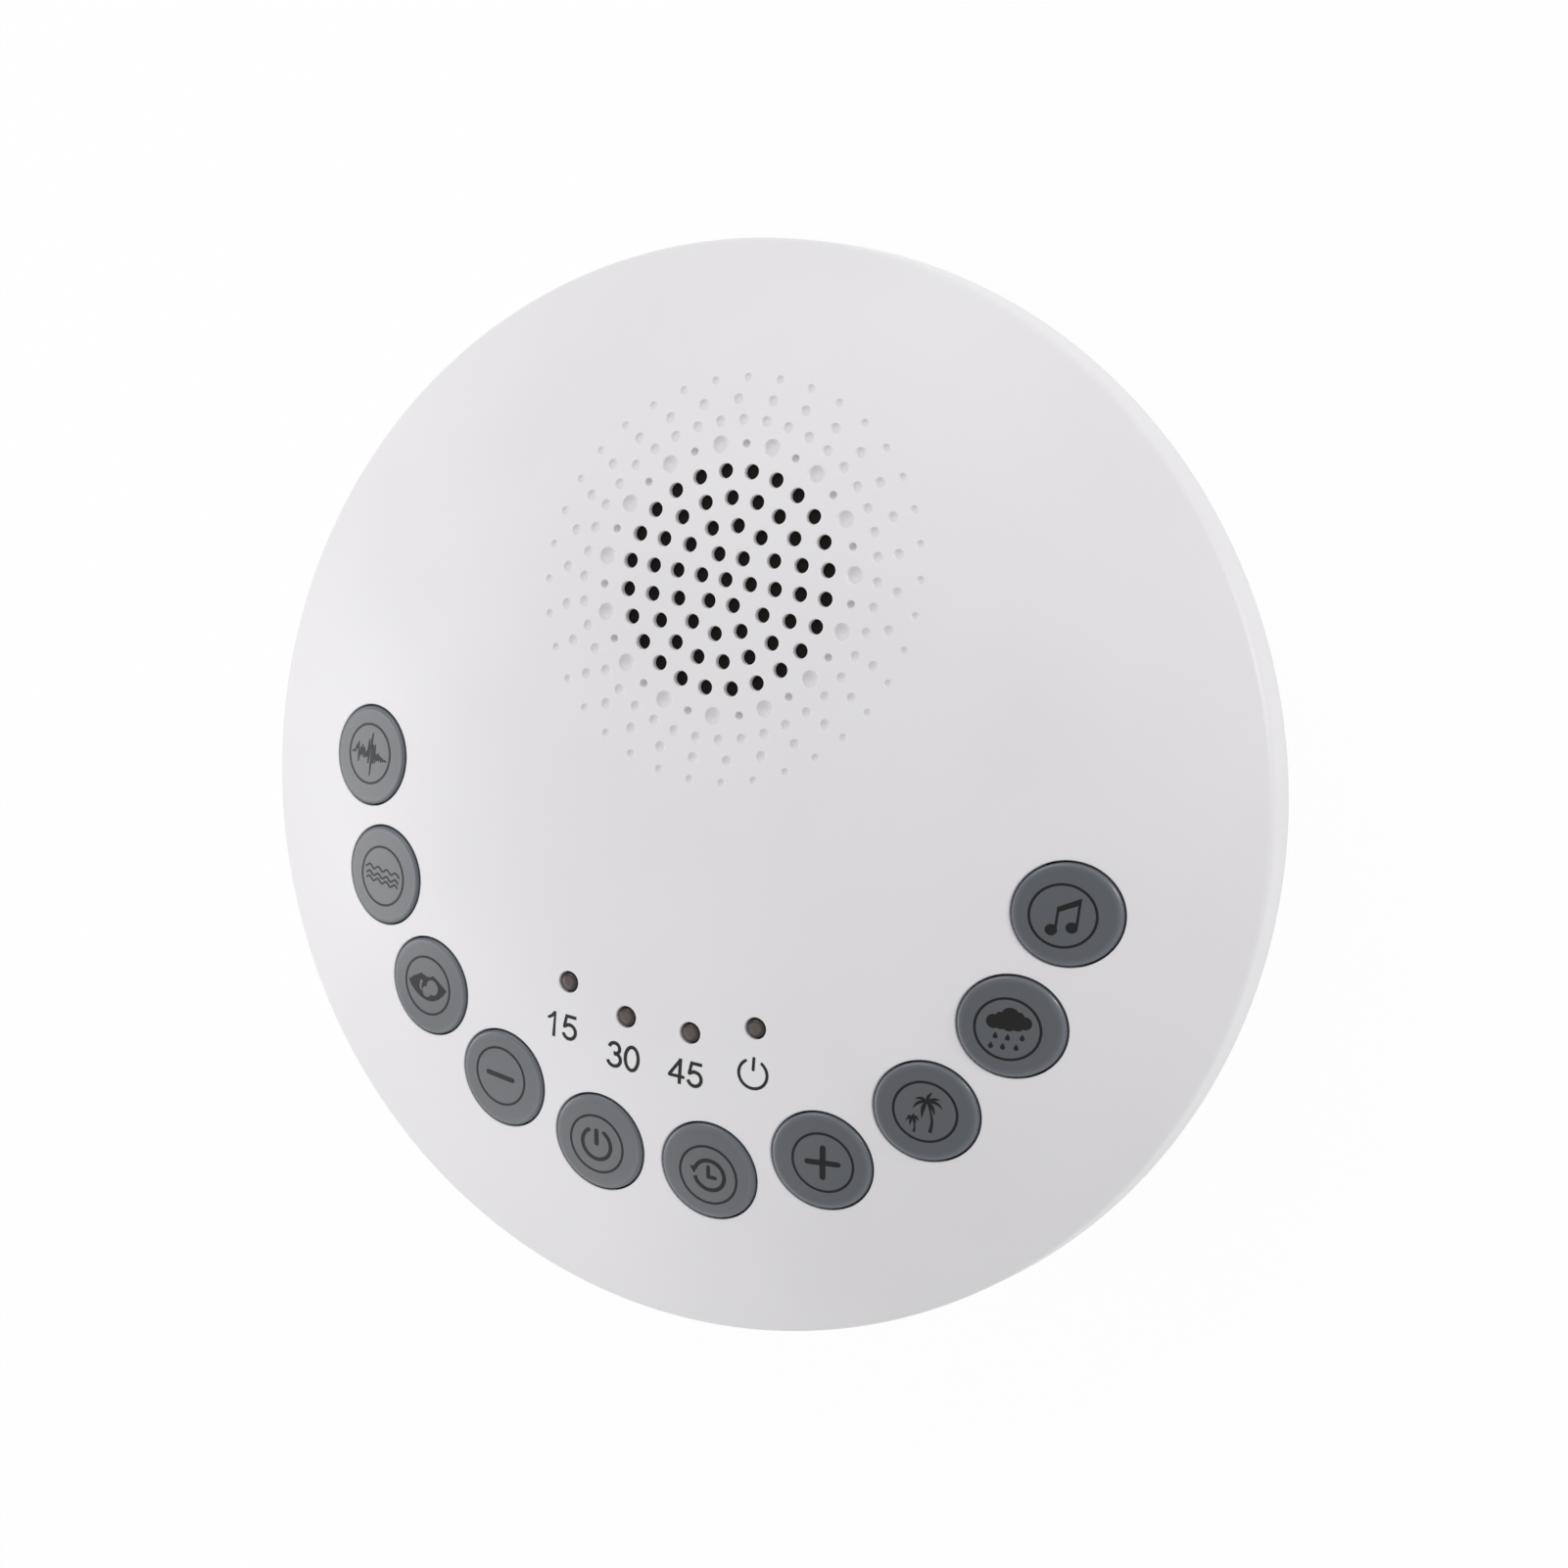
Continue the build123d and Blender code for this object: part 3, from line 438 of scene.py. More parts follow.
def raise_tree() -> bpy.types.NodeTree:
    """Group that lifts each point of a blank to its height on the dome.

    Returns:
        The group, with the sizes of the dome as inputs.
    """
    sockets = {"Geometry": GEOMETRY} | {key: FLOAT for key in DOME_SIZES}
    tree = new_tree("RaiseOnDome", "GeometryNodeTree", sockets, {"Geometry": GEOMETRY})
    wire = Wiring(tree)
    given = wire.add("NodeGroupInput").outputs
    rides = wire.add("GeometryNodeInputNamedAttribute", {"Name": "rides"}, data_type="FLOAT").outputs[0]
    sunk = wire.add("GeometryNodeInputNamedAttribute", {"Name": "sunk"}, data_type="FLOAT").outputs[0]
    position = wire.add("GeometryNodeInputPosition").outputs[0]
    split = wire.add("ShaderNodeSeparateXYZ", {0: position}).outputs
    squares = [wire.math("MULTIPLY", split[axis], split[axis]) for axis in (0, 1)]
    square = wire.math("ADD", *squares)
    radius = wire.math("SQRT", square)
    crown_radius = wire.math("SUBTRACT", given["Crown Radius"], sunk)
    shoulder_radius = wire.math("SUBTRACT", given["Shoulder Radius"], sunk)
    shift = wire.math("SUBTRACT", given["Crown Radius"], given["Shoulder Radius"])
    lean = wire.math("SINE", given["Blend Angle"])
    base = wire.math("SUBTRACT", given["Crown Level"], given["Crown Radius"])
    crown_rise = wire.math("SQRT", wire.math("SUBTRACT", wire.math("POWER", crown_radius, 2.0), square))
    along = wire.math("SUBTRACT", radius, wire.math("MULTIPLY", shift, lean))
    run = wire.math("MULTIPLY", along, along)
    reach = wire.math("SUBTRACT", wire.math("POWER", shoulder_radius, 2.0), run)
    centre = wire.math("MULTIPLY", shift, wire.math("COSINE", given["Blend Angle"]))
    shoulder_rise = wire.math("ADD", wire.math("SQRT", reach), centre)
    on_shoulder = wire.math("GREATER_THAN", radius, wire.math("MULTIPLY", crown_radius, lean))
    step = wire.math("MULTIPLY", on_shoulder, wire.math("SUBTRACT", shoulder_rise, crown_rise))
    height = wire.math("ADD", base, wire.math("ADD", crown_rise, step))
    lifted = wire.math("MULTIPLY_ADD", rides, height, split[2])
    place = wire.add("ShaderNodeCombineXYZ", {0: split[0], 1: split[1], 2: lifted}).outputs[0]
    moved = wire.add("GeometryNodeSetPosition", {"Geometry": given["Geometry"], "Position": place})
    result = wire.add("NodeGroupOutput")
    wire.link(moved.outputs[0], result.inputs[0])
    return tree


def read(items: bpy.types.bpy_prop_collection, key: str, width: int = 1, kind: type = float) -> np.ndarray:
    """Reads one property of every item of a mesh.

    Args:
        items: the points, corners or faces.
        key: name of the property.
        width: numbers for each item.
        kind: type of the numbers.

    Returns:
        The numbers, in rows where an item has more than one.
    """
    numbers = np.zeros(len(items) * width, kind)
    items.foreach_get(key, numbers)
    return numbers.reshape(-1, width) if width > 1 else numbers


class Raiser:
    """Raises blanks onto the dome with a geometry node modifier, and bakes them into plain meshes."""

    weld: float = 0.002 * MM

    def __init__(self, dome: Dome) -> None:
        """Builds the shared group.

        Args:
            dome: the dome that blanks are raised onto.
        """
        self.dome = dome
        self.group = raise_tree()
        self.sizes = dict(
            zip(DOME_SIZES, (dome.crown_level, dome.crown_radius, dome.shoulder_radius, dome.blend))
        )
        self.plain = self.tree("RaisedBlank", {}, lambda wire, given: given["Geometry"])

    def tree(
        self,
        name: str,
        sockets: dict[str, str],
        body: Callable[[Wiring, bpy.types.NodeOutputs], bpy.types.NodeSocket],
    ) -> bpy.types.NodeTree:
        """Tree that adds to a blank, raises the whole and gives it its material.

        Args:
            name: name of the tree.
            sockets: type of each further input, by name.
            body: wires what is added and gives the flat geometry.

        Returns:
            The tree.
        """
        inputs = {"Geometry": GEOMETRY, "Material": "NodeSocketMaterial", "Weld Distance": FLOAT}
        inputs |= {key: FLOAT for key in DOME_SIZES} | sockets
        tree = new_tree(name, "GeometryNodeTree", inputs, {"Geometry": GEOMETRY})
        wire = Wiring(tree)
        given = wire.add("NodeGroupInput").outputs
        flat = body(wire, given)
        lift = wire.add("GeometryNodeGroup", node_tree=self.group)
        wire.link(flat, lift.inputs["Geometry"])
        for key in DOME_SIZES:
            wire.link(given[key], lift.inputs[key])
        weld = wire.add(
            "GeometryNodeMergeByDistance", {"Geometry": lift.outputs[0], "Distance": given["Weld Distance"]}
        )
        real = wire.add("GeometryNodeRealizeInstances", {"Geometry": weld.outputs[0]})
        done = wire.add(
            "GeometryNodeSetMaterial", {"Geometry": real.outputs[0], "Material": given["Material"]}
        )
        result = wire.add("NodeGroupOutput")
        wire.link(done.outputs[0], result.inputs[0])
        return tree

    def finish(
        self,
        blank: Blank,
        name: str,
        material: bpy.types.Material,
        tree: bpy.types.NodeTree | None = None,
        values: dict[str, object] | None = None,
    ) -> bpy.types.Object:
        """Raises a blank and turns the result into a plain mesh object.

        Args:
            blank: what is raised.
            name: name of the piece.
            material: its material.
            tree: the tree, or None for the one that only raises.
            values: values of the tree's further inputs.

        Returns:
            The piece.
        """
        source = blank.as_object()
        modifier = source.modifiers.new("raise", "NODES")
        modifier.node_group = tree or self.plain
        settings = {"Material": material, "Weld Distance": self.weld} | self.sizes | (values or {})
        for item in modifier.node_group.interface.items_tree:
            if item.item_type == "SOCKET" and item.in_out == "INPUT" and item.name in settings:
                modifier[item.identifier] = settings[item.name]
        evaluated = source.evaluated_get(bpy.context.evaluated_depsgraph_get())
        mesh = bpy.data.meshes.new_from_object(evaluated)
        mesh.name = name
        source.modifiers.remove(modifier)
        bpy.data.objects.remove(source)
        piece = bpy.data.objects.new(name, mesh)
        bpy.context.scene.collection.objects.link(piece)
        self.smooth(mesh)
        return piece

    def smooth(self, mesh: bpy.types.Mesh, sharp: float = 38.0, limit: float = 50.0) -> None:
        """Smooths a mesh, with the dome's own normals where it follows the dome.

        Args:
            mesh: the mesh.
            sharp: angle in degrees from which an edge is sharp.
            limit: angle in degrees up to which a face takes the dome's normal.
        """
        mesh.shade_smooth()
        mesh.set_sharp_from_angle(angle=math.radians(sharp))
        sunk = read(mesh.attributes["sunk"].data, "value")
        sheet = read(mesh.attributes["sheet"].data, "value")
        ideal = self.dome.normals(read(mesh.vertices, "co", 3), sunk)
        ideal[sunk > 0] *= -1
        corners = read(mesh.corner_normals, "vector", 3)
        owners = read(mesh.loops, "vertex_index", kind=int)
        totals = read(mesh.polygons, "loop_total", kind=int)
        face_normals = np.repeat(read(mesh.polygons, "normal", 3), totals, axis=0)
        wanted = ideal[owners]
        agrees = (face_normals * wanted).sum(1) > math.cos(math.radians(limit))
        use = agrees & (sheet[owners] > 0.5)
        corners[use] = wanted[use]
        mesh.normals_split_custom_set(corners.tolist())
        for key in ("rides", "sunk", "sheet"):
            mesh.attributes.remove(mesh.attributes[key])


# ---- Finishes ----


def grain_tree() -> bpy.types.NodeTree:
    """Group for a moulded surface: fine grain, slow changes of tone, and painted light and shade that
    lightens or darkens chosen rows by a share of their colour.

    Returns:
        The group.
    """
    sockets = {
        "Colour": "NodeSocketColor",
        "Deep Colour": "NodeSocketColor",
        "Grain Size": FLOAT,
        "Tone Size": FLOAT,
        "Roughness": FLOAT,
        "Roughness Spread": FLOAT,
        "Worn Share": FLOAT,
    }
    results = {"Colour": "NodeSocketColor", "Roughness": FLOAT, "Height": FLOAT}
    tree = new_tree("MouldedGrain", "ShaderNodeTree", sockets, results)
    wire = Wiring(tree)
    given = wire.add("NodeGroupInput").outputs
    place = wire.add("ShaderNodeTexCoord").outputs["Object"]
    fine = wire.add("ShaderNodeTexNoise", {"Vector": place, "Detail": 3.0})
    wire.link(wire.math("DIVIDE", 1.0, given["Grain Size"]), fine.inputs["Scale"])
    slow = wire.add("ShaderNodeTexNoise", {"Vector": place, "Detail": 2.0})
    wire.link(wire.math("DIVIDE", 1.0, given["Tone Size"]), slow.inputs["Scale"])
    tone = wire.add(
        "ShaderNodeMapRange", {"Value": slow.outputs[0], "From Min": 0.3, "From Max": 0.7}
    ).outputs[0]
    mixed = wire.add("ShaderNodeMix", data_type="RGBA")
    wire.link(tone, mixed.inputs[MIX_SHARE])
    wire.link(given["Colour"], mixed.inputs[MIX_FIRST])
    wire.link(given["Deep Colour"], mixed.inputs[MIX_SECOND])
    # Painted light and shade: the colour is scaled up or down on the rows that the attribute marks
    worn = wire.add("ShaderNodeAttribute", attribute_name="worn").outputs["Fac"]
    lift = wire.math("MULTIPLY_ADD", worn, given["Worn Share"], 1.0)
    lightened = wire.add("ShaderNodeVectorMath", {0: mixed.outputs[MIX_RESULT]}, operation="SCALE")
    wire.link(lift, lightened.inputs["Scale"])
    centred = wire.math("SUBTRACT", fine.outputs[0], 0.5)
    rough = wire.math("MULTIPLY_ADD", centred, given["Roughness Spread"], given["Roughness"])
    result = wire.add("NodeGroupOutput")
    wire.link(lightened.outputs[0], result.inputs["Colour"])
    wire.link(rough, result.inputs["Roughness"])
    wire.link(fine.outputs[0], result.inputs["Height"])
    return tree


@dataclass(frozen=True)
class Finish:
    """A finish: its slot in the record, its colours, its gloss, its grain in metres and its share of painted
    light and shade.
    """

    name: str
    slot: str
    colour: Colour
    deep: Colour
    roughness: float
    spread: float = 0.08
    grain: float = 0.25 * MM
    tone: float = 20.0 * MM
    bump: float = 0.05
    depth: float = 0.02 * MM
    metallic: float = 0.0
    specular: float = 0.5
    coat: float = 0.0
    coat_roughness: float = 0.1
    sheen: float = 0.0
    # Share by which marked rows are lightened as painted highlight or darkened as painted shade
    worn: float = 0.0

    def build(self, group: bpy.types.NodeTree) -> bpy.types.Material:
        """Makes the material.

        Args:
            group: the shared grain group.

        Returns:
            The material.
        """
        material = bpy.data.materials.new(self.name)
        material.use_nodes = True
        wire = Wiring(material.node_tree)
        shader = material.node_tree.nodes["Principled BSDF"]
        grain = wire.add("ShaderNodeGroup", node_tree=group)
        values = {
            "Colour": (*self.colour, 1.0),
            "Deep Colour": (*self.deep, 1.0),
            "Grain Size": self.grain,
            "Tone Size": self.tone,
            "Roughness": self.roughness,
            "Roughness Spread": self.spread,
            "Worn Share": self.worn,
        }
        for key, value in values.items():
            grain.inputs[key].default_value = value
        bump = wire.add("ShaderNodeBump", {"Strength": self.bump, "Distance": self.depth})
        wire.link(grain.outputs["Height"], bump.inputs["Height"])
        wire.link(grain.outputs["Colour"], shader.inputs["Base Color"])
        wire.link(grain.outputs["Roughness"], shader.inputs["Roughness"])
        wire.link(bump.outputs[0], shader.inputs["Normal"])
        shader.inputs["Metallic"].default_value = self.metallic
        shader.inputs["Specular IOR Level"].default_value = self.specular
        shader.inputs["Coat Weight"].default_value = self.coat
        shader.inputs["Coat Roughness"].default_value = self.coat_roughness
        shader.inputs["Sheen Weight"].default_value = self.sheen
        return material


FINISHES = (
    Finish(
        # White shell; its negative share darkens the floors of dimples and vents as painted shade
        "shell_abs", "shell_white", shade(236, 234, 236), shade(233, 231, 234), 0.42, specular=0.45, worn=-0.1
    ),
    Finish(
        "key_silicone",
        "key_grey",
        shade(67, 71, 77),
        shade(63, 68, 74),
        0.33,
        bump=0.12,
        specular=0.8,
        # Share that lightens the key rims as a painted highlight
        worn=0.9,
    ),
    Finish("key_print", "key_grey", shade(6, 5, 6), shade(4, 4, 5), 0.33, specular=0.26),
    Finish("case_print", "shell_white", shade(22, 19, 21), shade(18, 16, 18), 0.5, specular=0.3),
    Finish("pill_carbon", "pill_black", shade(28, 28, 29), shade(22, 22, 23), 0.85, grain=0.1 * MM),
    Finish("web_silicone", "web_grey", shade(104, 109, 114), shade(98, 103, 108), 0.6, bump=0.15),
    Finish("solder_mask", "board_green", shade(24, 92, 50), shade(20, 80, 44), 0.35, coat=0.4),
    Finish("epoxy", "chip_black", shade(24, 24, 26), shade(18, 18, 20), 0.45, bump=0.3),
    Finish("can_sleeve", "capacitor_can", shade(40, 46, 66), shade(34, 40, 58), 0.3),
    Finish("lamp_body", "lamp_body", shade(236, 228, 196), shade(230, 220, 186), 0.35),
    # Smoky lens; its share lightens the window as painted light
    Finish("smoked_lens", "smoke_lens", shade(46, 38, 36), shade(42, 35, 33), 0.22, worn=2.9),
    Finish("black_steel", "speaker_steel", shade(34, 34, 36), shade(26, 26, 28), 0.4, metallic=0.4),
    Finish("zinc_steel", "magnet_steel", shade(176, 178, 182), shade(160, 162, 168), 0.32, metallic=1.0),
    Finish("ferrite", "ferrite", shade(62, 62, 66), shade(50, 50, 54), 0.6, bump=0.4),
    Finish("copper_winding", "copper", shade(184, 104, 62), shade(160, 86, 50), 0.35, metallic=0.9),
    Finish("cone_paper", "cone_black", shade(30, 30, 33), shade(22, 22, 25), 0.62, bump=0.6, grain=0.6 * MM),
    Finish("soft_rubber", "soft_black", shade(32, 32, 34), shade(26, 26, 28), 0.6, sheen=0.2),
    Finish("inner_plastic", "inner_plastic", shade(206, 206, 208), shade(198, 198, 200), 0.5),
    Finish("screw_zinc", "screw_steel", shade(170, 172, 176), shade(150, 152, 158), 0.3, metallic=1.0),
    Finish("cell_sleeve", "cell_can", shade(74, 82, 92), shade(66, 74, 84), 0.3, metallic=0.3, coat=0.3),
    Finish("nickel_spring", "spring_steel", shade(196, 192, 184), shade(180, 176, 168), 0.25, metallic=1.0),
    Finish("jack_moulding", "jack_black", shade(24, 24, 26), shade(18, 18, 20), 0.35),
    Finish("jack_metal", "jack_metal", shade(206, 200, 184), shade(190, 184, 168), 0.22, metallic=1.0),
    Finish("foot_rubber", "foot_rubber", shade(44, 44, 46), shade(36, 36, 38), 0.75, bump=0.3),
    Finish("grille_cloth", "cloth_black", shade(33, 29, 28), shade(28, 25, 24), 0.95, bump=0.6, specular=0.1),
)


class Paintbox:
    """All finishes, by the name of the finish and by the record's slot."""

    def __init__(self, finishes: Iterable[Finish]) -> None:
        """Builds every material once.

        Args:
            finishes: the finishes; the first one of a slot dresses the slot's nodes.
        """
        group = grain_tree()
        self.by_name: dict[str, bpy.types.Material] = {}
        self.by_slot: dict[str, bpy.types.Material] = {}
        for finish in finishes:
            self.by_name[finish.name] = finish.build(group)
            self.by_slot.setdefault(finish.slot, self.by_name[finish.name])

    def dress_nodes(self) -> None:
        """Gives every node of the frame the finish of its slot."""
        for part in frame["record"]["subparts"]:
            mesh = frame["nodes"][part["node"]].data
            mesh.materials.clear()
            mesh.materials.append(self.by_slot[part["material_slot"]])


# ---- Case top ----


class Kind(Enum):
    """What opens or dents the case top; its words name the inputs of the node trees."""

    SOUND_HOLE = "Sound Hole"
    VENT = "Vent"
    WIDE_DIMPLE = "Wide Dimple"
    DIMPLE = "Dimple"
    FINE_DIMPLE = "Fine Dimple"
    KEY_OPENING = "Key Opening"
    LAMP_HOLE = "Lamp Hole"


@dataclass(frozen=True)
class Ring:
    """A ring of like holes about the middle of the grille, the first at a start angle in degrees."""

    radius: float
    count: int
    start: float
    kind: Kind


@dataclass(frozen=True)
class Arc:
    """A row of like openings along an arc on the near side, a pitch in degrees apart."""

    radius: float
    pitch: float
    count: int
    kind: Kind


@dataclass(frozen=True)
class Hole:
    """The form of a hole or dimple: its size, its mouth and, for a dimple, its depth and the painted shade
    that darkens its floor.
    """

    radius: float
    edge: float
    segments: int
    depth: float = 0.0
    floor_painted_shade: float = 0.0

    @property
    def reach(self) -> float:
        """Radius at which its mouth meets the dome."""
        return self.radius + self.edge


@dataclass(frozen=True)
class Boss:
    """A screw boss under the dome: its place and radii, and the levels of its foot and its pilot's end."""

    place: Point
    radius: float
    pilot: float
    foot: float
    top: float

    def rows(self) -> list[Row]:
        """Rows down its outside and up its pilot hole."""
        outside = [Row(self.radius, sunk=DOME.wall), standing(self.radius, self.foot)]
        return outside + [standing(self.pilot, self.foot), standing(self.pilot, self.top)]


@dataclass
class CaseTop:
    """The top shell with its grille, key openings, lamp holes, speaker ring and bosses."""

    raiser: Raiser
    paints: Paintbox
    key_centre: Point = (0.0, 2.0 * MM)
    key_arc: Arc = Arc(44.3 * MM, 18.22, 10, Kind.KEY_OPENING)
    lamp_arc: Arc = Arc(28.2 * MM, 16.5, 4, Kind.LAMP_HOLE)
    grille_centre: Point = (0.0, 24.6 * MM)
    ring_pitch: float = 3.0 * MM
    dimple_rings: tuple[Ring, ...] = (
        Ring(17.6 * MM, 40, 0.0, Kind.DIMPLE),
        Ring(19.9 * MM, 30, 6.0, Kind.DIMPLE),
        Ring(22.3 * MM, 36, 0.0, Kind.FINE_DIMPLE),
    )
    guide_level: float = 32.65 * MM
    guide_wall: float = 1.0 * MM
    grille_wall: float = 1.0 * MM
    recess_radius: float = 14.2 * MM
    speaker_ring_inner: float = 17.6 * MM
    speaker_ring_outer: float = 22.0 * MM
    speaker_ring_foot: float = 33.7 * MM
    pocket_radius: float = 20.3 * MM
    pocket_level: float = 35.7 * MM
    lower_edge: float = 0.25 * MM
    margin: float = 0.5 * MM
    bowl_power: float = 2.5
    bowl_shares: tuple[float, ...] = (0.2, 0.4, 0.6, 0.78, 0.92)
    # How far the cloth's crown sits below the face: its swell fills each sound hole with black as painted
    # shade
    gauze_drop: float = 0.72 * MM
    gauze_fall: float = 0.06 * MM
    gauze_shares: tuple[float, ...] = (0.35, 0.7, 0.9, 1.0)
    slack: float = 0.01 * MM
    # Radius and drop of each row of a lens in millimetres, and its share of painted light, which makes the
    # window paler than the flank as if lit
    lens_rows: tuple[tuple[float, float, float], ...] = (
        (0.36, -0.02, 0.85),
        (0.66, -0.02, 0.85),
        (0.7, 0.0, 0.0),
        (0.82, 0.04, 0.0),
        (0.94, 0.12, 0.0),
        (1.06, 0.34, 0.0),
        (1.16, 0.7, 0.0),
        (1.2, 0.92, 0.0),
    )
    case_bosses: tuple[Boss, ...] = tuple(
        Boss((x * MM, y * MM), 3.0 * MM, 1.35 * MM, 22.0 * MM, 30.6 * MM)
        for x, y in ((32.0, -6.0), (-32.0, -6.0), (33.0, 29.0), (-33.0, 29.0))
    )
    board_bosses: tuple[Boss, ...] = tuple(
        Boss((x * MM, y * MM), 2.4 * MM, 1.05 * MM, 29.5 * MM, 34.4 * MM)
        for x, y in ((27.0, -1.5), (-27.0, -1.5), (20.0, -19.0), (-20.0, -19.0))
    )
    clamp_circle: float = 25.5 * MM
    clamp_turns: tuple[float, ...] = (30.0, 150.0, 270.0)
    clamp_radius: float = 2.4 * MM
    clamp_pilot: float = 1.05 * MM
    clamp_top: float = 36.7 * MM
    around: int = 240
    rim_steps: int = 8
    edge_steps: int = 3
    ring_segments: int = 96
    boss_segments: int = 24
    spacing: float = 2.0 * MM
    # The last number of a dimple or vent is the painted shade on its floor
    holes: dict[Kind, Hole] = field(
        default_factory=lambda: {
            Kind.SOUND_HOLE: Hole(0.85 * MM, 0.14 * MM, 20),
            Kind.VENT: Hole(0.46 * MM, 0.08 * MM, 12, 0.68 * MM, 1.0),
            Kind.WIDE_DIMPLE: Hole(0.96 * MM, 0.12 * MM, 24, 0.62 * MM, 0.5),
            Kind.DIMPLE: Hole(0.59 * MM, 0.1 * MM, 16, 0.36 * MM, 0.35),
            Kind.FINE_DIMPLE: Hole(0.45 * MM, 0.08 * MM, 14, 0.28 * MM, 0.35),
            Kind.KEY_OPENING: Hole(5.9 * MM, 0.15 * MM, 72),
            Kind.LAMP_HOLE: Hole(1.25 * MM, 0.12 * MM, 28),
        }
    )

    def sound_rings(self) -> list[Ring]:
        """Rings of open holes, with the one in the middle first."""
        rings = [Ring(step * self.ring_pitch, 6 * step, 0.0, Kind.SOUND_HOLE) for step in range(1, 5)]
        return [Ring(0.0, 1, 0.0, Kind.SOUND_HOLE), *rings]

    def rings(self) -> list[Ring]:
        """Rings of the grille from the middle outwards."""
        radius = 5 * self.ring_pitch
        mixed = [Ring(radius, 15, 0.0, Kind.VENT), Ring(radius, 15, 12.0, Kind.WIDE_DIMPLE)]
        return [*self.sound_rings(), *mixed, *self.dimple_rings]

    def ring_places(self, ring: Ring) -> Loop:
        """Middles of the holes of a ring.

        Args:
            ring: the ring.

        Returns:
            The middles, anticlockwise.
        """
        turns = [math.radians(ring.start + 360 * index / ring.count) for index in range(ring.count)]
        x, y = self.grille_centre
        return [(x + ring.radius * math.cos(turn), y + ring.radius * math.sin(turn)) for turn in turns]

    def arc_places(self, openings: Arc) -> Loop:
        """Middles of the openings along an arc.

        Args:
            openings: the arc and what opens along it.

        Returns:
            The middles, from left to right.
        """
        radius, pitch = openings.radius, openings.pitch
        start = -90 - (openings.count - 1) / 2 * pitch
        turns = [math.radians(start + index * pitch) for index in range(openings.count)]
        x, y = self.key_centre
        return [(x + radius * math.cos(turn), y + radius * math.sin(turn)) for turn in turns]

    def places(self) -> list[tuple[Kind, Point]]:
        """Finds every hole and dimple.

        Returns:
            The kind and the middle of each.
        """
        found = [(ring.kind, place) for ring in self.rings() for place in self.ring_places(ring)]
        arcs = (self.key_arc, self.lamp_arc)
        return found + [(openings.kind, place) for openings in arcs for place in self.arc_places(openings)]

    def lining(self, kind: Kind) -> Blank:
        """Wall of one kind of hole, from its rounded mouth to the inside of the dome or to its floor.

        Args:
            kind: the kind of hole.

        Returns:
            The wall, about the origin.
        """
        hole = self.holes[kind]
        blank = Blank(kind.value)
        rim = mouth(hole.radius, hole.edge)[::-1]
        if kind is Kind.KEY_OPENING:
            outer = hole.radius + self.guide_wall
            guide = [Row(outer, sunk=DOME.wall)]
            guide += [standing(outer, self.guide_level), standing(hole.radius, self.guide_level)]
            blank.turn((0.0, 0.0), guide + rim, hole.segments)
        elif hole.depth:
            bowl = hole.depth - hole.edge
            levels = [(share, -hole.edge - bowl * (1 - share**self.bowl_power)) for share in self.bowl_shares]
            # The cup's rows carry painted shade that darkens the floor of a dimple or vent
            cup = [Row(hole.radius * share, level, worn=hole.floor_painted_shade) for share, level in levels]
            blank.turn((0.0, 0.0), cup + rim, hole.segments, Cap.FIRST)
        else:
            inner = self.grille_wall if kind is Kind.SOUND_HOLE else DOME.wall
            blank.turn((0.0, 0.0), [Row(hole.radius, sunk=inner), *rim], hole.segments)
        return blank

    def inner_reach(self, kind: Kind) -> float:
        """Radius of what a hole leaves open in the inside of the dome."""
        radius = self.holes[kind].radius
        return radius + self.guide_wall if kind is Kind.KEY_OPENING else radius

    def pattern(self, name: str, rings: Sequence[Ring], arcs: Sequence[Arc]) -> bpy.types.NodeTree:
        """Tree that sets a form on every place of some rings and arcs and welds it to the blank.

        Args:
            name: name of the tree.
            rings: rings of the grille.
            arcs: arcs of openings.

        Returns:
            The tree, with one input for each form and each size.
        """
        kinds = sorted({row.kind.value for row in [*rings, *arcs]})
        sockets = {kind: "NodeSocketObject" for kind in kinds}
        sockets |= {"Grille Centre": "NodeSocketVector", "Key Centre": "NodeSocketVector"}
        sockets |= {f"{size} {index}": FLOAT for index in range(len(arcs)) for size in ("Arc", "Pitch")}
        sockets |= {f"Ring {index}": FLOAT for index in range(len(rings))}

        def body(wire: Wiring, given: bpy.types.NodeOutputs) -> bpy.types.NodeSocket:
            """Wires the patterns of holes.

            Args:
                wire: wiring of the tree.
                given: the tree's inputs.

            Returns:
                The blank with its holes, in the flat.
            """
            join = wire.add("GeometryNodeJoinGeometry", {"Geometry": given["Geometry"]})
            linings = {
                kind: wire.add("GeometryNodeObjectInfo", {"Object": given[kind]}).outputs["Geometry"]
                for kind in kinds
            }

            def place(spots: bpy.types.Node, centre: str, kind: Kind, start: float = 0.0) -> None:
                """Sets a kind of form on points.

                Args:
                    spots: the node that gives the points, about the origin.
                    centre: name of the input that says where their middle goes.
                    kind: the kind of form.
                    start: angle in degrees that they are turned by.
                """
                inputs = {"Geometry": spots.outputs[0], "Translation": given[centre]}
                moved = wire.add("GeometryNodeTransform", inputs)
                moved.inputs["Rotation"].default_value = (0.0, 0.0, math.radians(start))
                inputs = {"Points": moved.outputs[0], "Instance": linings[kind.value]}
                setter = wire.add("GeometryNodeInstanceOnPoints", inputs)
                real = wire.add("GeometryNodeRealizeInstances", {"Geometry": setter.outputs[0]})
                wire.link(real.outputs[0], join.inputs["Geometry"])

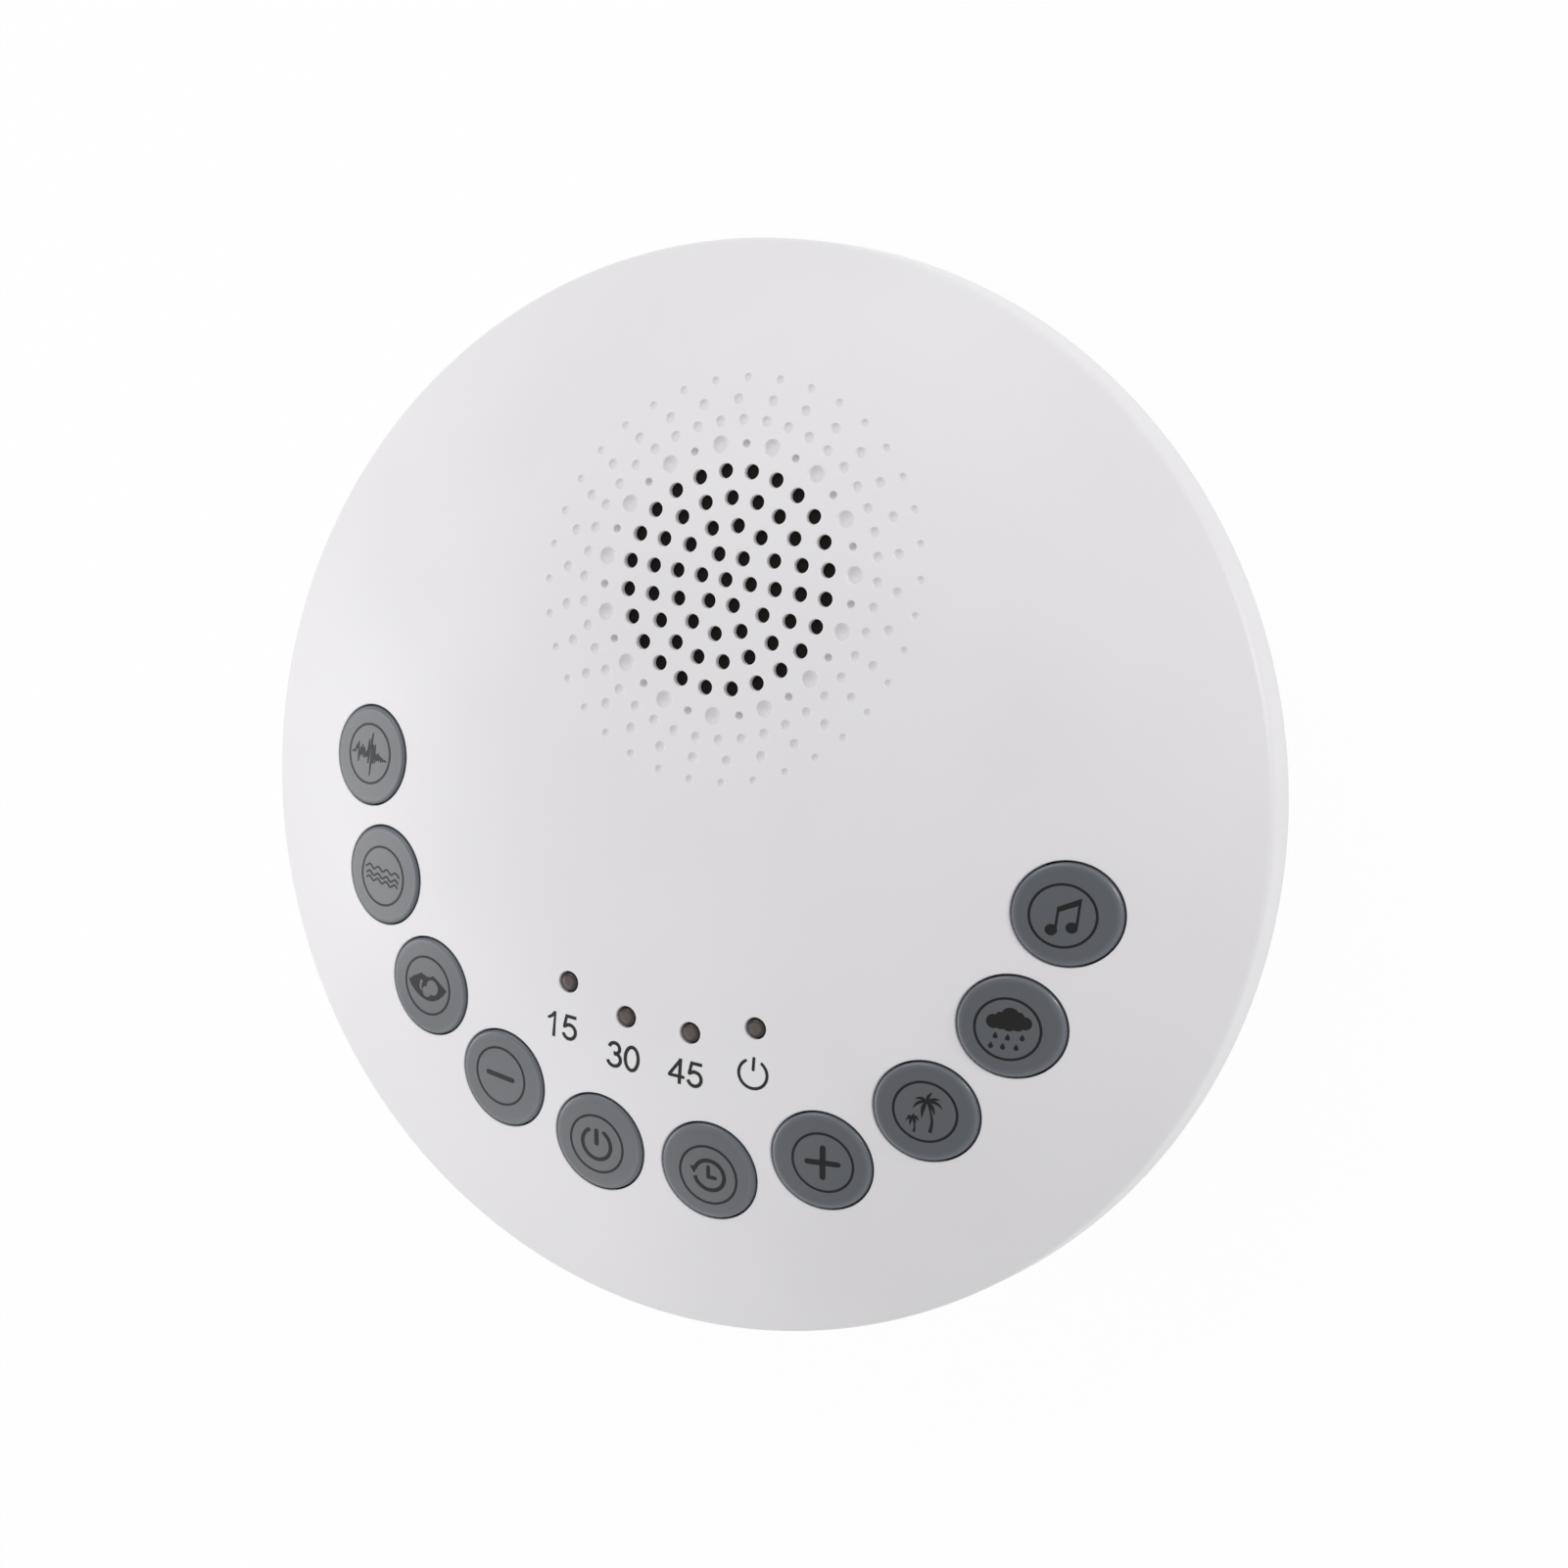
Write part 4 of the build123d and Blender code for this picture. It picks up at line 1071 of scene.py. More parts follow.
            for index, ring in enumerate(rings):
                if ring.count == 1:
                    spots = wire.add("GeometryNodeMeshLine", {"Count": 1})
                else:
                    spots = wire.add("GeometryNodeMeshCircle", {"Radius": given[f"Ring {index}"]})
                    spots.inputs["Vertices"].default_value = ring.count
                place(spots, "Grille Centre", ring.kind, ring.start)
            for index, openings in enumerate(arcs):
                sweep = wire.math("MULTIPLY", given[f"Pitch {index}"], float(openings.count - 1))
                start = wire.math("MULTIPLY_ADD", sweep, -0.5, -math.pi / 2)
                line = wire.add("GeometryNodeCurveArc", {"Radius": given[f"Arc {index}"]}, mode="RADIUS")
                line.inputs["Resolution"].default_value = openings.count
                wire.link(start, line.inputs["Start Angle"])
                wire.link(sweep, line.inputs["Sweep Angle"])
                place(line, "Key Centre", openings.kind)
            return join.outputs[0]

        return self.raiser.tree(name, sockets, body)

    def grid(self, reach: float, keep_off: list[tuple[Point, float]]) -> Loop:
        """Points spread over the dome in rings, clear of the holes.

        Args:
            reach: radius of the sheet.
            keep_off: middle and radius of each place that stays free.

        Returns:
            The points.
        """
        spots = []
        rings = round(reach / self.spacing)
        for ring in range(1, rings):
            radius = reach * ring / rings
            count = max(6, round(2 * math.pi * radius / self.spacing))
            spots += [
                (radius * math.cos(turn), radius * math.sin(turn))
                for turn in (2 * math.pi * (index + ring % 2 / 2) / count for index in range(count))
            ]
        points = np.array(spots)
        clear = np.ones(len(points), bool)
        for place, radius in keep_off:
            clear &= np.hypot(points[:, 0] - place[0], points[:, 1] - place[1]) > radius
        return [tuple(point) for point in points[clear]]

    def rim_rows(self, reach: float, start: float) -> list[Row]:
        """Rows of the rounded rim, the upright band and the lower edge, up to the inside of the dome.

        Args:
            reach: radius at which the rounding starts.
            start: lean of the dome there.

        Returns:
            The rows.
        """
        middle = DOME.case_radius - DOME.rim_round
        level = DOME.level(middle, DOME.rim_round)
        rows = [Row(reach)]
        for step in range(1, self.rim_steps + 1):
            turn = start + (math.pi / 2 - start) * step / self.rim_steps
            height = level + DOME.rim_round * math.cos(turn)
            rows.append(standing(middle + DOME.rim_round * math.sin(turn), height))
        for step in range(self.edge_steps + 1):
            turn = math.pi / 2 * step / self.edge_steps
            height = DOME.skirt_level + self.lower_edge * (1 - math.sin(turn))
            rows.append(standing(DOME.case_radius - self.lower_edge * (1 - math.cos(turn)), height))
        inside = DOME.case_radius - DOME.wall
        return [*rows, standing(inside, DOME.skirt_level), Row(inside, sunk=DOME.wall)]

    def outer_face(self, blank: Blank) -> None:
        """Adds the outer face of the dome with its rim and band.

        Args:
            blank: what it is added to.
        """
        shift = (DOME.crown_radius - DOME.shoulder_radius) * math.sin(DOME.blend)
        middle = DOME.case_radius - DOME.rim_round
        start = math.asin((middle - shift) / (DOME.shoulder_radius - DOME.rim_round))
        reach = middle + DOME.rim_round * math.sin(start)
        blank.turn((0.0, 0.0), self.rim_rows(reach, start), self.around)
        places = [(self.holes[kind], place) for kind, place in self.places()]
        cuts = [circle(place, hole.reach, hole.segments) for hole, place in places]
        free = [(place, hole.reach + self.margin) for hole, place in places]
        blank.cover([circle((0.0, 0.0), reach, self.around)], cuts, self.grid(reach, free), 0.0)

    def inner_loops(self, items: list[tuple[Kind, Point]]) -> list[Loop]:
        """Outlines that holes leave open in the inside of the dome."""
        return [circle(place, self.inner_reach(kind), self.holes[kind].segments) for kind, place in items]

    def inner_face(self, blank: Blank, beside: list[tuple[Kind, Point]], bosses: list[Boss]) -> None:
        """Adds the inner face of the dome outside the speaker ring.

        Args:
            blank: what it is added to.
            beside: kind and middle of each opening outside the ring.
            bosses: the screw bosses.
        """
        inside = DOME.case_radius - DOME.wall
        boss_loops = [circle(boss.place, boss.radius, self.boss_segments) for boss in bosses]
        ring_loop = circle(self.grille_centre, self.speaker_ring_outer, self.ring_segments)
        free = [(place, self.inner_reach(kind) + self.margin) for kind, place in beside]
        free += [(boss.place, boss.radius + self.margin) for boss in bosses]
        free.append((self.grille_centre, self.speaker_ring_outer + self.margin))
        edge = circle((0.0, 0.0), inside, self.around)
        cuts = [*self.inner_loops(beside), *boss_loops, ring_loop]
        blank.cover([edge], cuts, self.grid(inside, free), DOME.wall)

    def speaker_ring(self, blank: Blank, sound_holes: list[tuple[Kind, Point]]) -> None:
        """Adds the thinned field behind the grille and the ring with the speaker's pocket.

        Args:
            blank: what they are added to.
            sound_holes: kind and middle of each open hole of the grille.
        """
        recess = circle(self.grille_centre, self.recess_radius, self.ring_segments)
        inner = self.speaker_ring_inner
        blank.cover([circle(self.grille_centre, inner, self.ring_segments)], [recess], [], DOME.wall)
        step = [Row(self.recess_radius, sunk=DOME.wall), Row(self.recess_radius, sunk=self.grille_wall)]
        blank.turn(self.grille_centre, step, self.ring_segments)
        blank.cover([recess], self.inner_loops(sound_holes), [], self.grille_wall)
        outer, pocket = self.speaker_ring_outer, self.pocket_radius
        rows = [Row(outer, sunk=DOME.wall)]
        rows += [standing(radius, self.speaker_ring_foot) for radius in (outer, pocket)]
        rows += [standing(radius, self.pocket_level) for radius in (pocket, inner)]
        blank.turn(self.grille_centre, [*rows, Row(inner, sunk=DOME.wall)], self.ring_segments)

    def bosses(self) -> list[Boss]:
        """Every screw boss under the dome."""
        places = [arc(self.grille_centre, self.clamp_circle, turn, turn, 1)[0] for turn in self.clamp_turns]
        levels = (self.speaker_ring_foot, self.clamp_top)
        clamps = [Boss(place, self.clamp_radius, self.clamp_pilot, *levels) for place in places]
        return [*self.case_bosses, *self.board_bosses, *clamps]

    def sheets(self) -> Blank:
        """Lays out both faces of the dome, with its rim, band, speaker ring and bosses.

        Returns:
            The blank, with an opening for every hole.
        """
        blank = Blank("case_top_blank")
        self.outer_face(blank)
        through = [(kind, place) for kind, place in self.places() if self.holes[kind].depth == 0]
        sound_holes = [item for item in through if item[0] is Kind.SOUND_HOLE]
        bosses = self.bosses()
        self.inner_face(blank, [item for item in through if item not in sound_holes], bosses)
        self.speaker_ring(blank, sound_holes)
        for boss in bosses:
            blank.turn(boss.place, boss.rows(), self.boss_segments, Cap.LAST)
        return blank

    def set_out(
        self,
        blank: Blank,
        name: str,
        finish: str,
        forms: dict[Kind, Blank],
        rings: Sequence[Ring],
        arcs: Sequence[Arc],
    ) -> bpy.types.Object:
        """Makes one piece of a blank and the forms set on it.

        Args:
            blank: what the forms are welded to, or an empty blank.
            name: name of the piece.
            finish: name of its finish.
            forms: the form for each kind of place.
            rings: rings of the grille that carry forms.
            arcs: arcs that carry forms.

        Returns:
            The piece, on the case.
        """
        objects = {kind.value: form.as_object() for kind, form in forms.items()}
        values: dict[str, object] = dict(objects)
        values |= {"Grille Centre": (*self.grille_centre, 0.0), "Key Centre": (*self.key_centre, 0.0)}
        values |= {f"Ring {index}": ring.radius for index, ring in enumerate(rings)}
        for index, openings in enumerate(arcs):
            values |= {f"Arc {index}": openings.radius, f"Pitch {index}": math.radians(openings.pitch)}
        tree = self.pattern(f"{name}_pattern", rings, arcs)
        piece = self.raiser.finish(blank, name, self.paints.by_name[finish], tree, values)
        for form in objects.values():
            bpy.data.objects.remove(form)
        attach(piece, "case")
        log.info("%s: %d faces", name, len(piece.data.polygons))
        return piece

    def gauze(self) -> Blank:
        """Black cloth where it swells up into one sound hole, down to the sheet behind the grille: the cloth
        is real, and its swell up into the hole stands in for the shade inside the hole, as painted shade.

        Returns:
            The cloth, about the origin.
        """
        hole = self.holes[Kind.SOUND_HOLE]
        radius = hole.radius - self.slack
        levels = [(share, -self.gauze_drop - self.gauze_fall * share**4) for share in self.gauze_shares]
        crown = [Row(radius * share, level) for share, level in levels]
        blank = Blank("sound_hole_cloth")
        blank.turn((0.0, 0.0), [*crown, Row(radius, sunk=self.grille_wall)], hole.segments, Cap.BOTH)
        return blank

    def lens_head(self) -> Blank:
        """Smoky lens on one post of the light guide: a dark flank round a window that painted light makes
        paler.

        Returns:
            The lens, about the origin.
        """
        rows = [Row(radius * MM, -drop * MM, worn=worn) for radius, drop, worn in self.lens_rows]
        blank = Blank("lamp_lens")
        blank.turn((0.0, 0.0), rows, self.holes[Kind.LAMP_HOLE].segments, Cap.BOTH)
        return blank

    def build(self) -> None:
        """Raises the case top in place of its node, and sets the cloth, swelled into the sound holes as
        painted shade, and the lenses in its holes.
        """
        linings = {kind: self.lining(kind) for kind in self.holes}
        arcs = (self.key_arc, self.lamp_arc)
        piece = self.set_out(self.sheets(), "case_top", "shell_abs", linings, self.rings(), arcs)
        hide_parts("top_shell")
        # Black cloth in every sound hole, standing in for the shade inside the holes
        gauze = {Kind.SOUND_HOLE: self.gauze()}
        piece = self.set_out(Blank("gauze"), "grille_gauze", "grille_cloth", gauze, self.sound_rings(), ())
        heads = {Kind.LAMP_HOLE: self.lens_head()}
        piece = self.set_out(Blank("heads"), "lens_heads", "smoked_lens", heads, (), (self.lamp_arc,))


# ---- Line drawing for key signs and labels, in millimetres ----


@dataclass
class Drawing:
    """Outlines that are filled and outlines that stay open, about a middle of their own."""

    solids: list[Loop] = field(default_factory=list)
    cuts: list[Loop] = field(default_factory=list)

    def shape(self, *loops: Loop) -> "Drawing":
        """Adds filled outlines."""
        self.solids += loops
        return self

    def disc(self, centre: Point, radius: float, steps: int = 20) -> "Drawing":
        """Adds a filled circle."""
        return self.shape(circle(centre, radius, steps))

    def line(self, points: Sequence[Point], width: float) -> "Drawing":
        """Adds straight runs of one width, round at their corners and ends.

        Args:
            points: ends of the runs, in order.
            width: width of the runs.

        Returns:
            The drawing.
        """
        for start, end in zip(points, points[1:]):
            lean = math.degrees(math.atan2(end[1] - start[1], end[0] - start[0]))
            self.shape(
                arc(end, width / 2, lean - 90, lean + 90, 5) + arc(start, width / 2, lean + 90, lean + 270, 5)
            )
        return self

    def ribbon(self, points: Sequence[Point], width: float | Sequence[float]) -> "Drawing":
        """Adds a smooth band along some points.

        Args:
            points: its middle line.
            width: its width, or one width for each point.

        Returns:
            The drawing.
        """
        path = np.array(points, float)
        slope = np.gradient(path, axis=0)
        slope /= np.maximum(np.hypot(slope[:, 0], slope[:, 1]), TINY)[:, None]
        side = np.stack([-slope[:, 1], slope[:, 0]], axis=1) * np.reshape(width, (-1, 1)) / 2
        left, right = path + side, path - side
        return self.shape([tuple(point) for point in [*right, *left[::-1]]])

    def bend(self, centre: Point, radii: Point, start: float, end: float, width: float) -> "Drawing":
        """Adds a band along part of an ellipse.

        Args:
            centre: middle of the ellipse.
            radii: its half width and half height.
            start: angle in degrees at which the band starts.
            end: angle in degrees at which it ends.
            width: width of the band.

        Returns:
            The drawing.
        """
        turns = np.radians(np.linspace(start, end, max(6, int(abs(end - start) / 9))))
        (x, y), (wide, high) = centre, radii
        return self.ribbon([(x + wide * math.cos(turn), y + high * math.sin(turn)) for turn in turns], width)

    def add(self, other: "Drawing", offset: Point, size: float = 1.0) -> "Drawing":
        """Adds another drawing.

        Args:
            other: the other drawing.
            offset: where its middle goes.
            size: what it is enlarged by.

        Returns:
            The drawing.
        """
        for mine, theirs in ((self.solids, other.solids), (self.cuts, other.cuts)):
            mine += [[(offset[0] + x * size, offset[1] + y * size) for x, y in loop] for loop in theirs]
        return self

    def at(self, place: Point) -> tuple[list[Loop], list[Loop]]:
        """Its outlines in metres.

        Args:
            place: where its middle goes, in metres.

        Returns:
            The filled outlines and the open ones.
        """
        moved = Drawing().add(self, (place[0] / MM, place[1] / MM))
        return (
            [[(x * MM, y * MM) for x, y in loop] for loop in moved.solids],
            [[(x * MM, y * MM) for x, y in loop] for loop in moved.cuts],
        )


class Sign(Enum):
    """What a key is for, in the order of the keys along their arc."""

    WHITE_NOISE = "white_noise"
    OCEAN = "ocean"
    CALM = "calm"
    VOLUME_DOWN = "volume_down"
    POWER = "power"
    TIMER = "timer"
    VOLUME_UP = "volume_up"
    PALMS = "palms"
    RAIN = "rain"
    MUSIC = "music"


def noise_sign() -> Drawing:
    """Jagged trace of white noise."""
    peaks = (
        (-2.95, -0.32), (-2.68, -0.1), (-2.5, -0.25), (-2.3, 0.55), (-2.18, 0.2), (-2.0, 0.95), (-1.8, -1.2),
        (-1.58, 0.4), (-1.45, -0.4), (-1.28, 0.78), (-1.1, -0.55), (-0.93, 0.5), (-0.72, -0.6), (-0.52, 0.15),
        (-0.4, -0.4), (-0.24, 1.6), (-0.1, -1.1), (0.1, 1.5), (0.24, 2.4), (0.36, -2.45), (0.52, 1.1),
        (0.66, -0.95), (0.84, 1.15), (1.0, -0.88), (1.17, 0.15), (1.32, -0.55), (1.5, 0.25), (1.66, -0.5),
        (1.84, 0.05), (2.05, -0.55), (2.2, -0.1), (2.4, -0.42), (2.62, -0.28), (2.88, -0.36),
    )
    return Drawing().line(peaks, 0.2)


def ocean_sign() -> Drawing:
    """Three rows of waves.

    Returns:
        The drawing.
    """
    drawing = Drawing()
    for level, start, end in ((0.72, -2.98, 2.86), (-0.1, -2.72, 2.7), (-0.72, -2.66, 2.6)):
        spots = np.linspace(start, end, 73)
        swell = [(x, level - 0.03 * x + 0.2 * math.cos(2 * math.pi * (x + 2.2) / 1.44)) for x in spots]
        drawing.ribbon(swell, 0.24)
    return drawing


def calm_sign() -> Drawing:
    """Boat-shaped leaf with round openings and a small curl.

    Returns:
        The drawing.
    """
    leaf = [(-3.0, 0.08), (-2.3, 0.62), (-1.6, 1.02), (-1.0, 1.36), (-0.6, 1.2), (-0.1, 1.06), (0.4, 1.12)]
    leaf += [(0.85, 1.38), (1.45, 1.06), (2.2, 0.58), (3.0, 0.04), (2.45, -0.68), (1.75, -1.32), (0.9, -1.72)]
    leaf += [(0.0, -1.84), (-1.0, -1.62), (-1.9, -1.14), (-2.55, -0.56)]
    curl = [(-1.25, 0.1), (-1.15, 0.42), (-0.9, 0.56), (-0.72, 0.4), (-0.86, 0.1), (-0.95, -0.3)]
    curl += [(-0.8, -0.9), (-1.15, -0.75), (-1.32, -0.35)]
    return Drawing([leaf], [circle((0.75, -0.1), 0.92, 28), circle((-0.15, -0.78), 0.66, 24), curl])


def minus_sign() -> Drawing:
    """Level bar."""
    return Drawing().line([(-1.77, 0.12), (1.73, -0.1)], 0.62)


def plus_sign() -> Drawing:
    """Level bar crossed by an upright one."""
    return Drawing().line([(-1.77, -0.17), (1.74, 0.12)], 0.64).line([(0.02, -1.76), (-0.02, 1.76)], 0.68)


def power_sign(radius: float, width: float, gap: float, bar: Point, bar_width: float) -> Drawing:
    """Open ring with an upright bar.

    Args:
        radius: radius of the ring's middle line.
        width: width of the ring's line.
        gap: half of the opening at the top, in degrees.
        bar: lower and upper end of the bar.
        bar_width: width of the bar.

    Returns:
        The drawing.
    """
    ring = Drawing().bend((0.0, 0.0), (radius, radius), 90 + gap, 450 - gap, width)
    for turn in (90 + gap, 90 - gap):
        ring.disc(arc((0.0, 0.0), radius, turn, turn, 1)[0], width / 2, 14)
    return ring.line([(0.0, bar[0]), (0.0, bar[1])], bar_width)


def timer_sign() -> Drawing:
    """Clock whose ring is an arrow that runs back.

    Returns:
        The drawing.
    """
    ring = Drawing().bend((0.15, 0.0), (1.82, 1.8), 194, 518, 0.47)
    ring.shape([(-2.25, 0.68), (-1.22, 0.82), (-1.72, -0.12)])
    return ring.line([(0.02, 0.98), (0.02, -0.22), (0.86, -0.2)], 0.45)


def palm(weight: float) -> Drawing:
    """Palm tree with a bent trunk and seven drooping leaves, its crown at the middle.

    Args:
        weight: how broad its trunk and leaves are.

    Returns:
        The drawing.
    """
    steps = np.linspace(0.0, 1.0, 11)
    tree = Drawing().ribbon(
        [(0.08 + 0.78 * math.sin(1.9 * t) - 0.32 * t * t, -3.5 * t) for t in steps],
        [weight * (0.2 + 0.24 * t**1.5) for t in steps],
    )
    leaves = (
        ((0.02, 0.7), (0.52, 1.19), 0.36),
        ((0.7, 0.62), (1.4, 0.46), 0.34),
        ((1.05, 0.4), (1.7, -0.5), 0.36),
        ((0.75, -0.35), (0.9, -1.34), 0.4),
        ((-0.5, -0.55), (-0.42, -1.98), 0.46),
        ((-0.95, 0.1), (-1.44, -0.98), 0.36),
        ((-0.6, 0.62), (-1.26, 0.1), 0.32),
    )
    for (bend_x, bend_y), (x, y), width in leaves:
        spine = [(2 * t * (1 - t) * bend_x + t * t * x, 2 * t * (1 - t) * bend_y + t * t * y) for t in steps]
        tree.ribbon(spine, [0.05 + weight * width * math.sin(math.pi * t**0.8) for t in steps])
    return tree.disc((0.0, -0.02), 0.2, 14)


def palms_sign() -> Drawing:
    """A tall palm with a small one beside it."""
    return Drawing().add(palm(0.88), (0.13, 1.19)).add(palm(1.35), (-1.33, -0.95), 0.46)


def rain_sign() -> Drawing:
    """Cloud over six drops.

    Returns:
        The drawing.
    """
    cloud = Drawing()
    lobes = ((-1.5, 0.66, 0.8), (-0.85, 1.3, 0.54), (0.17, 1.5, 0.98), (1.05, 1.55, 0.56), (1.72, 0.95, 0.74))
    lobes += ((-0.75, 0.56, 0.68), (0.1, 0.6, 0.8), (1.0, 0.66, 0.72))
    for x, y, radius in lobes:
        cloud.disc((x, y), radius, 30)
    for x, y in ((-1.19, -0.9), (0.1, -0.92), (1.6, -0.72), (-1.56, -2.07), (-0.31, -2.03), (1.08, -1.91)):
        cloud.shape([(x, y + 0.42), *arc((x, y - 0.1), 0.26, 155, 385, 12)])
    return cloud


def music_sign() -> Drawing:
    """Two notes under one slanted beam.

    Returns:
        The drawing.
    """
    notes = Drawing().disc((-0.98, -1.7), 0.63, 26).disc((1.06, -1.16), 0.62, 26)
    notes.shape([(-0.69, -1.7), (-0.42, -1.7), (-0.42, 0.86), (-0.69, 0.86)])
    notes.shape([(1.4, -1.16), (1.67, -1.16), (1.67, 2.1), (1.4, 2.1)])
    return notes.shape([(-0.69, 0.22), (1.67, 1.5), (1.67, 2.22), (-0.69, 0.88)])


# The picture of each key, and how far its print lies off the key's middle, as pad printing leaves it
PRINTS: dict[Sign, tuple[Callable[[], Drawing], Point]] = {
    Sign.WHITE_NOISE: (noise_sign, (-0.11, 0.15)),
    Sign.OCEAN: (ocean_sign, (-0.15, -0.17)),
    Sign.CALM: (calm_sign, (-0.2, 0.0)),
    Sign.VOLUME_DOWN: (minus_sign, (-0.27, 0.17)),
    Sign.POWER: (lambda: power_sign(1.87, 0.47, 33.0, (0.08, 1.62), 0.58), (-0.22, -0.3)),
    Sign.TIMER: (timer_sign, (0.06, -0.48)),
    Sign.VOLUME_UP: (plus_sign, (0.27, -0.13)),
    Sign.PALMS: (palms_sign, (0.0, 0.0)),
    Sign.RAIN: (rain_sign, (-0.25, -0.3)),
    Sign.MUSIC: (music_sign, (-0.31, -0.19)),
}


def figure(number: int) -> Drawing:
    """A plain figure three millimetres high, about its middle.

    Args:
        number: 0, 1, 3, 4 or 5.

    Returns:
        The drawing.
    """
    stroke = 0.42
    drawing = Drawing()
    if number == 0:
        for start in (85, -95):
            drawing.bend((0.0, 0.0), (0.83, 1.37), start, start + 190, stroke)
    elif number == 1:
        drawing.shape([(-0.09, -1.5), (0.33, -1.5), (0.33, 1.5), (0.06, 1.5)])
        drawing.line([(0.1, 1.32), (-0.2, 0.92), (-0.62, 0.66)], 0.36)
    elif number == 3:
        drawing.bend((-0.08, 0.71), (0.67, 0.66), 170, -88, stroke)
        drawing.bend((-0.06, -0.6), (0.83, 0.77), 97, -168, stroke)
    elif number == 4:
        drawing.line([(0.34, 1.34), (-0.94, -0.56)], 0.38).line([(-0.94, -0.62), (0.8, -0.62)], 0.38)
        drawing.shape([(0.13, -1.5), (0.55, -1.5), (0.55, 1.5), (0.13, 1.5)])
    elif number == 5:
        drawing.shape([(-0.55, 1.1), (0.83, 1.1), (0.83, 1.5), (-0.62, 1.5)])
        drawing.line([(-0.47, 1.3), (-0.7, 0.04)], 0.38)
        drawing.bend((-0.01, -0.5), (0.82, 0.83), 140, -165, stroke)
    return drawing


def number_drawing(value: int) -> Drawing:
    """A two-figure number about its middle."""
    tens, ones = divmod(value, 10)
    return Drawing().add(figure(tens), (-1.1, 0.0)).add(figure(ones), (1.1, 0.0))


# ---- Keys and labels ----


@dataclass
class KeyPad:
    """The ten keys with their signs, whose ring is drawn in millimetres."""

    raiser: Raiser
    paints: Paintbox
    places: Loop
    proud: float = 0.25 * MM
    flat_radius: float = 5.26 * MM
    edge: float = 0.44 * MM
    flange_radius: float = 6.3 * MM
    flange_top: float = 32.25 * MM
    foot: float = 31.05 * MM
    skirt_radius: float = 4.7 * MM
    ceiling: float = 34.05 * MM
    plunger_radius: float = 3.2 * MM
    ring_radius: float = 3.45
    ring_width: float = 0.28
    print_height: float = 0.02 * MM
    top_shares: tuple[float, ...] = (0.2, 0.4, 0.6, 0.8, 0.93)
    # Painted highlight share at the edge of a key's flat top
    rim_painted_highlight: float = 0.4
    edge_steps: int = 5
    segments: int = 72

    def cap_rows(self) -> list[Row]:
        """Rows of a key, over its top and down to its plunger.

        Returns:
            The rows.
        """
        rows = [Row(self.flat_radius * share, sunk=-self.proud) for share in self.top_shares]
        # The rim and the rounded edge carry a painted highlight that lightens them
        rows.append(Row(self.flat_radius, sunk=-self.proud, worn=self.rim_painted_highlight))
        for step in range(1, self.edge_steps + 1):
            turn = math.pi / 2 * step / self.edge_steps
            radius = self.flat_radius + self.edge * math.sin(turn)
            rows.append(Row(radius, -self.edge * (1 - math.cos(turn)), sunk=-self.proud, worn=1.0))
        outline = (
            (self.flat_radius + self.edge, self.flange_top),
            (self.flange_radius, self.flange_top),
            (self.flange_radius, self.foot),
            (self.skirt_radius, self.foot),
            (self.skirt_radius, self.ceiling),
            (self.plunger_radius, self.ceiling),
            (self.plunger_radius, self.foot),
        )
        return rows + [standing(radius, level) for radius, level in outline]

    def build(self) -> None:
        """Makes every key and its sign."""
        top = Row(0.0, self.print_height, sunk=-self.proud)
        bottom = Row(0.0, -self.print_height, sunk=-self.proud)
        ring = Drawing([circle((0.0, 0.0), self.ring_radius + self.ring_width / 2, self.segments)])
        ring.cuts.append(circle((0.0, 0.0), self.ring_radius - self.ring_width / 2, self.segments))
        for sign, place in zip(Sign, self.places):
            body = f"key_{sign.value}"
            blank = Blank(body)
            blank.turn(place, self.cap_rows(), self.segments, Cap.BOTH)
            key = self.raiser.finish(blank, f"key_cap_{sign.value}", self.paints.by_name["key_silicone"])
            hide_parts(body)
            blank = Blank(f"sign_{sign.value}")
            draw, shift = PRINTS[sign]
            middle = (place[0] + shift[0] * MM, place[1] + shift[1] * MM)
            blank.slab(*ring.at(middle), top, bottom)
            blank.slab(*draw().at(middle), top, bottom)
            picture = self.raiser.finish(blank, f"sign_{sign.value}", self.paints.by_name["key_print"])
            for piece in (key, picture):
                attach(piece, body)
            log.info("key %s: %d faces", sign.value, len(key.data.polygons) + len(picture.data.polygons))


@dataclass
class LampLabels:
    """The printed minutes and the power sign below the lamps."""

    raiser: Raiser
    paints: Paintbox
    height: float = 0.015 * MM
    minutes: tuple[tuple[int, Point], ...] = (
        (15, (-12.35 * MM, -28.93 * MM)),
        (30, (-4.05 * MM, -30.63 * MM)),
        (45, (3.92 * MM, -30.63 * MM)),
    )
    power_place: Point = (11.96 * MM, -28.91 * MM)

    def build(self) -> None:
        """Makes every label."""
        drawings = [(f"label_{value}", number_drawing(value), place) for value, place in self.minutes]
        drawings.append(("label_power", power_sign(1.69, 0.36, 35.0, (0.52, 1.85), 0.36), self.power_place))
        for name, drawing, place in drawings:
            blank = Blank(name)
            blank.slab(*drawing.at(place), Row(0.0, self.height), Row(0.0, -self.height))
            piece = self.raiser.finish(blank, name, self.paints.by_name["case_print"])
            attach(piece, "case")
            log.info("%s: %d faces", name, len(piece.data.polygons))


# ---- Studio ----


@dataclass(frozen=True)
class SoftLight:
    """A square soft light: where it is, how large and how strong."""

    name: str
    place: tuple[float, float, float]
    size: float
    power: float


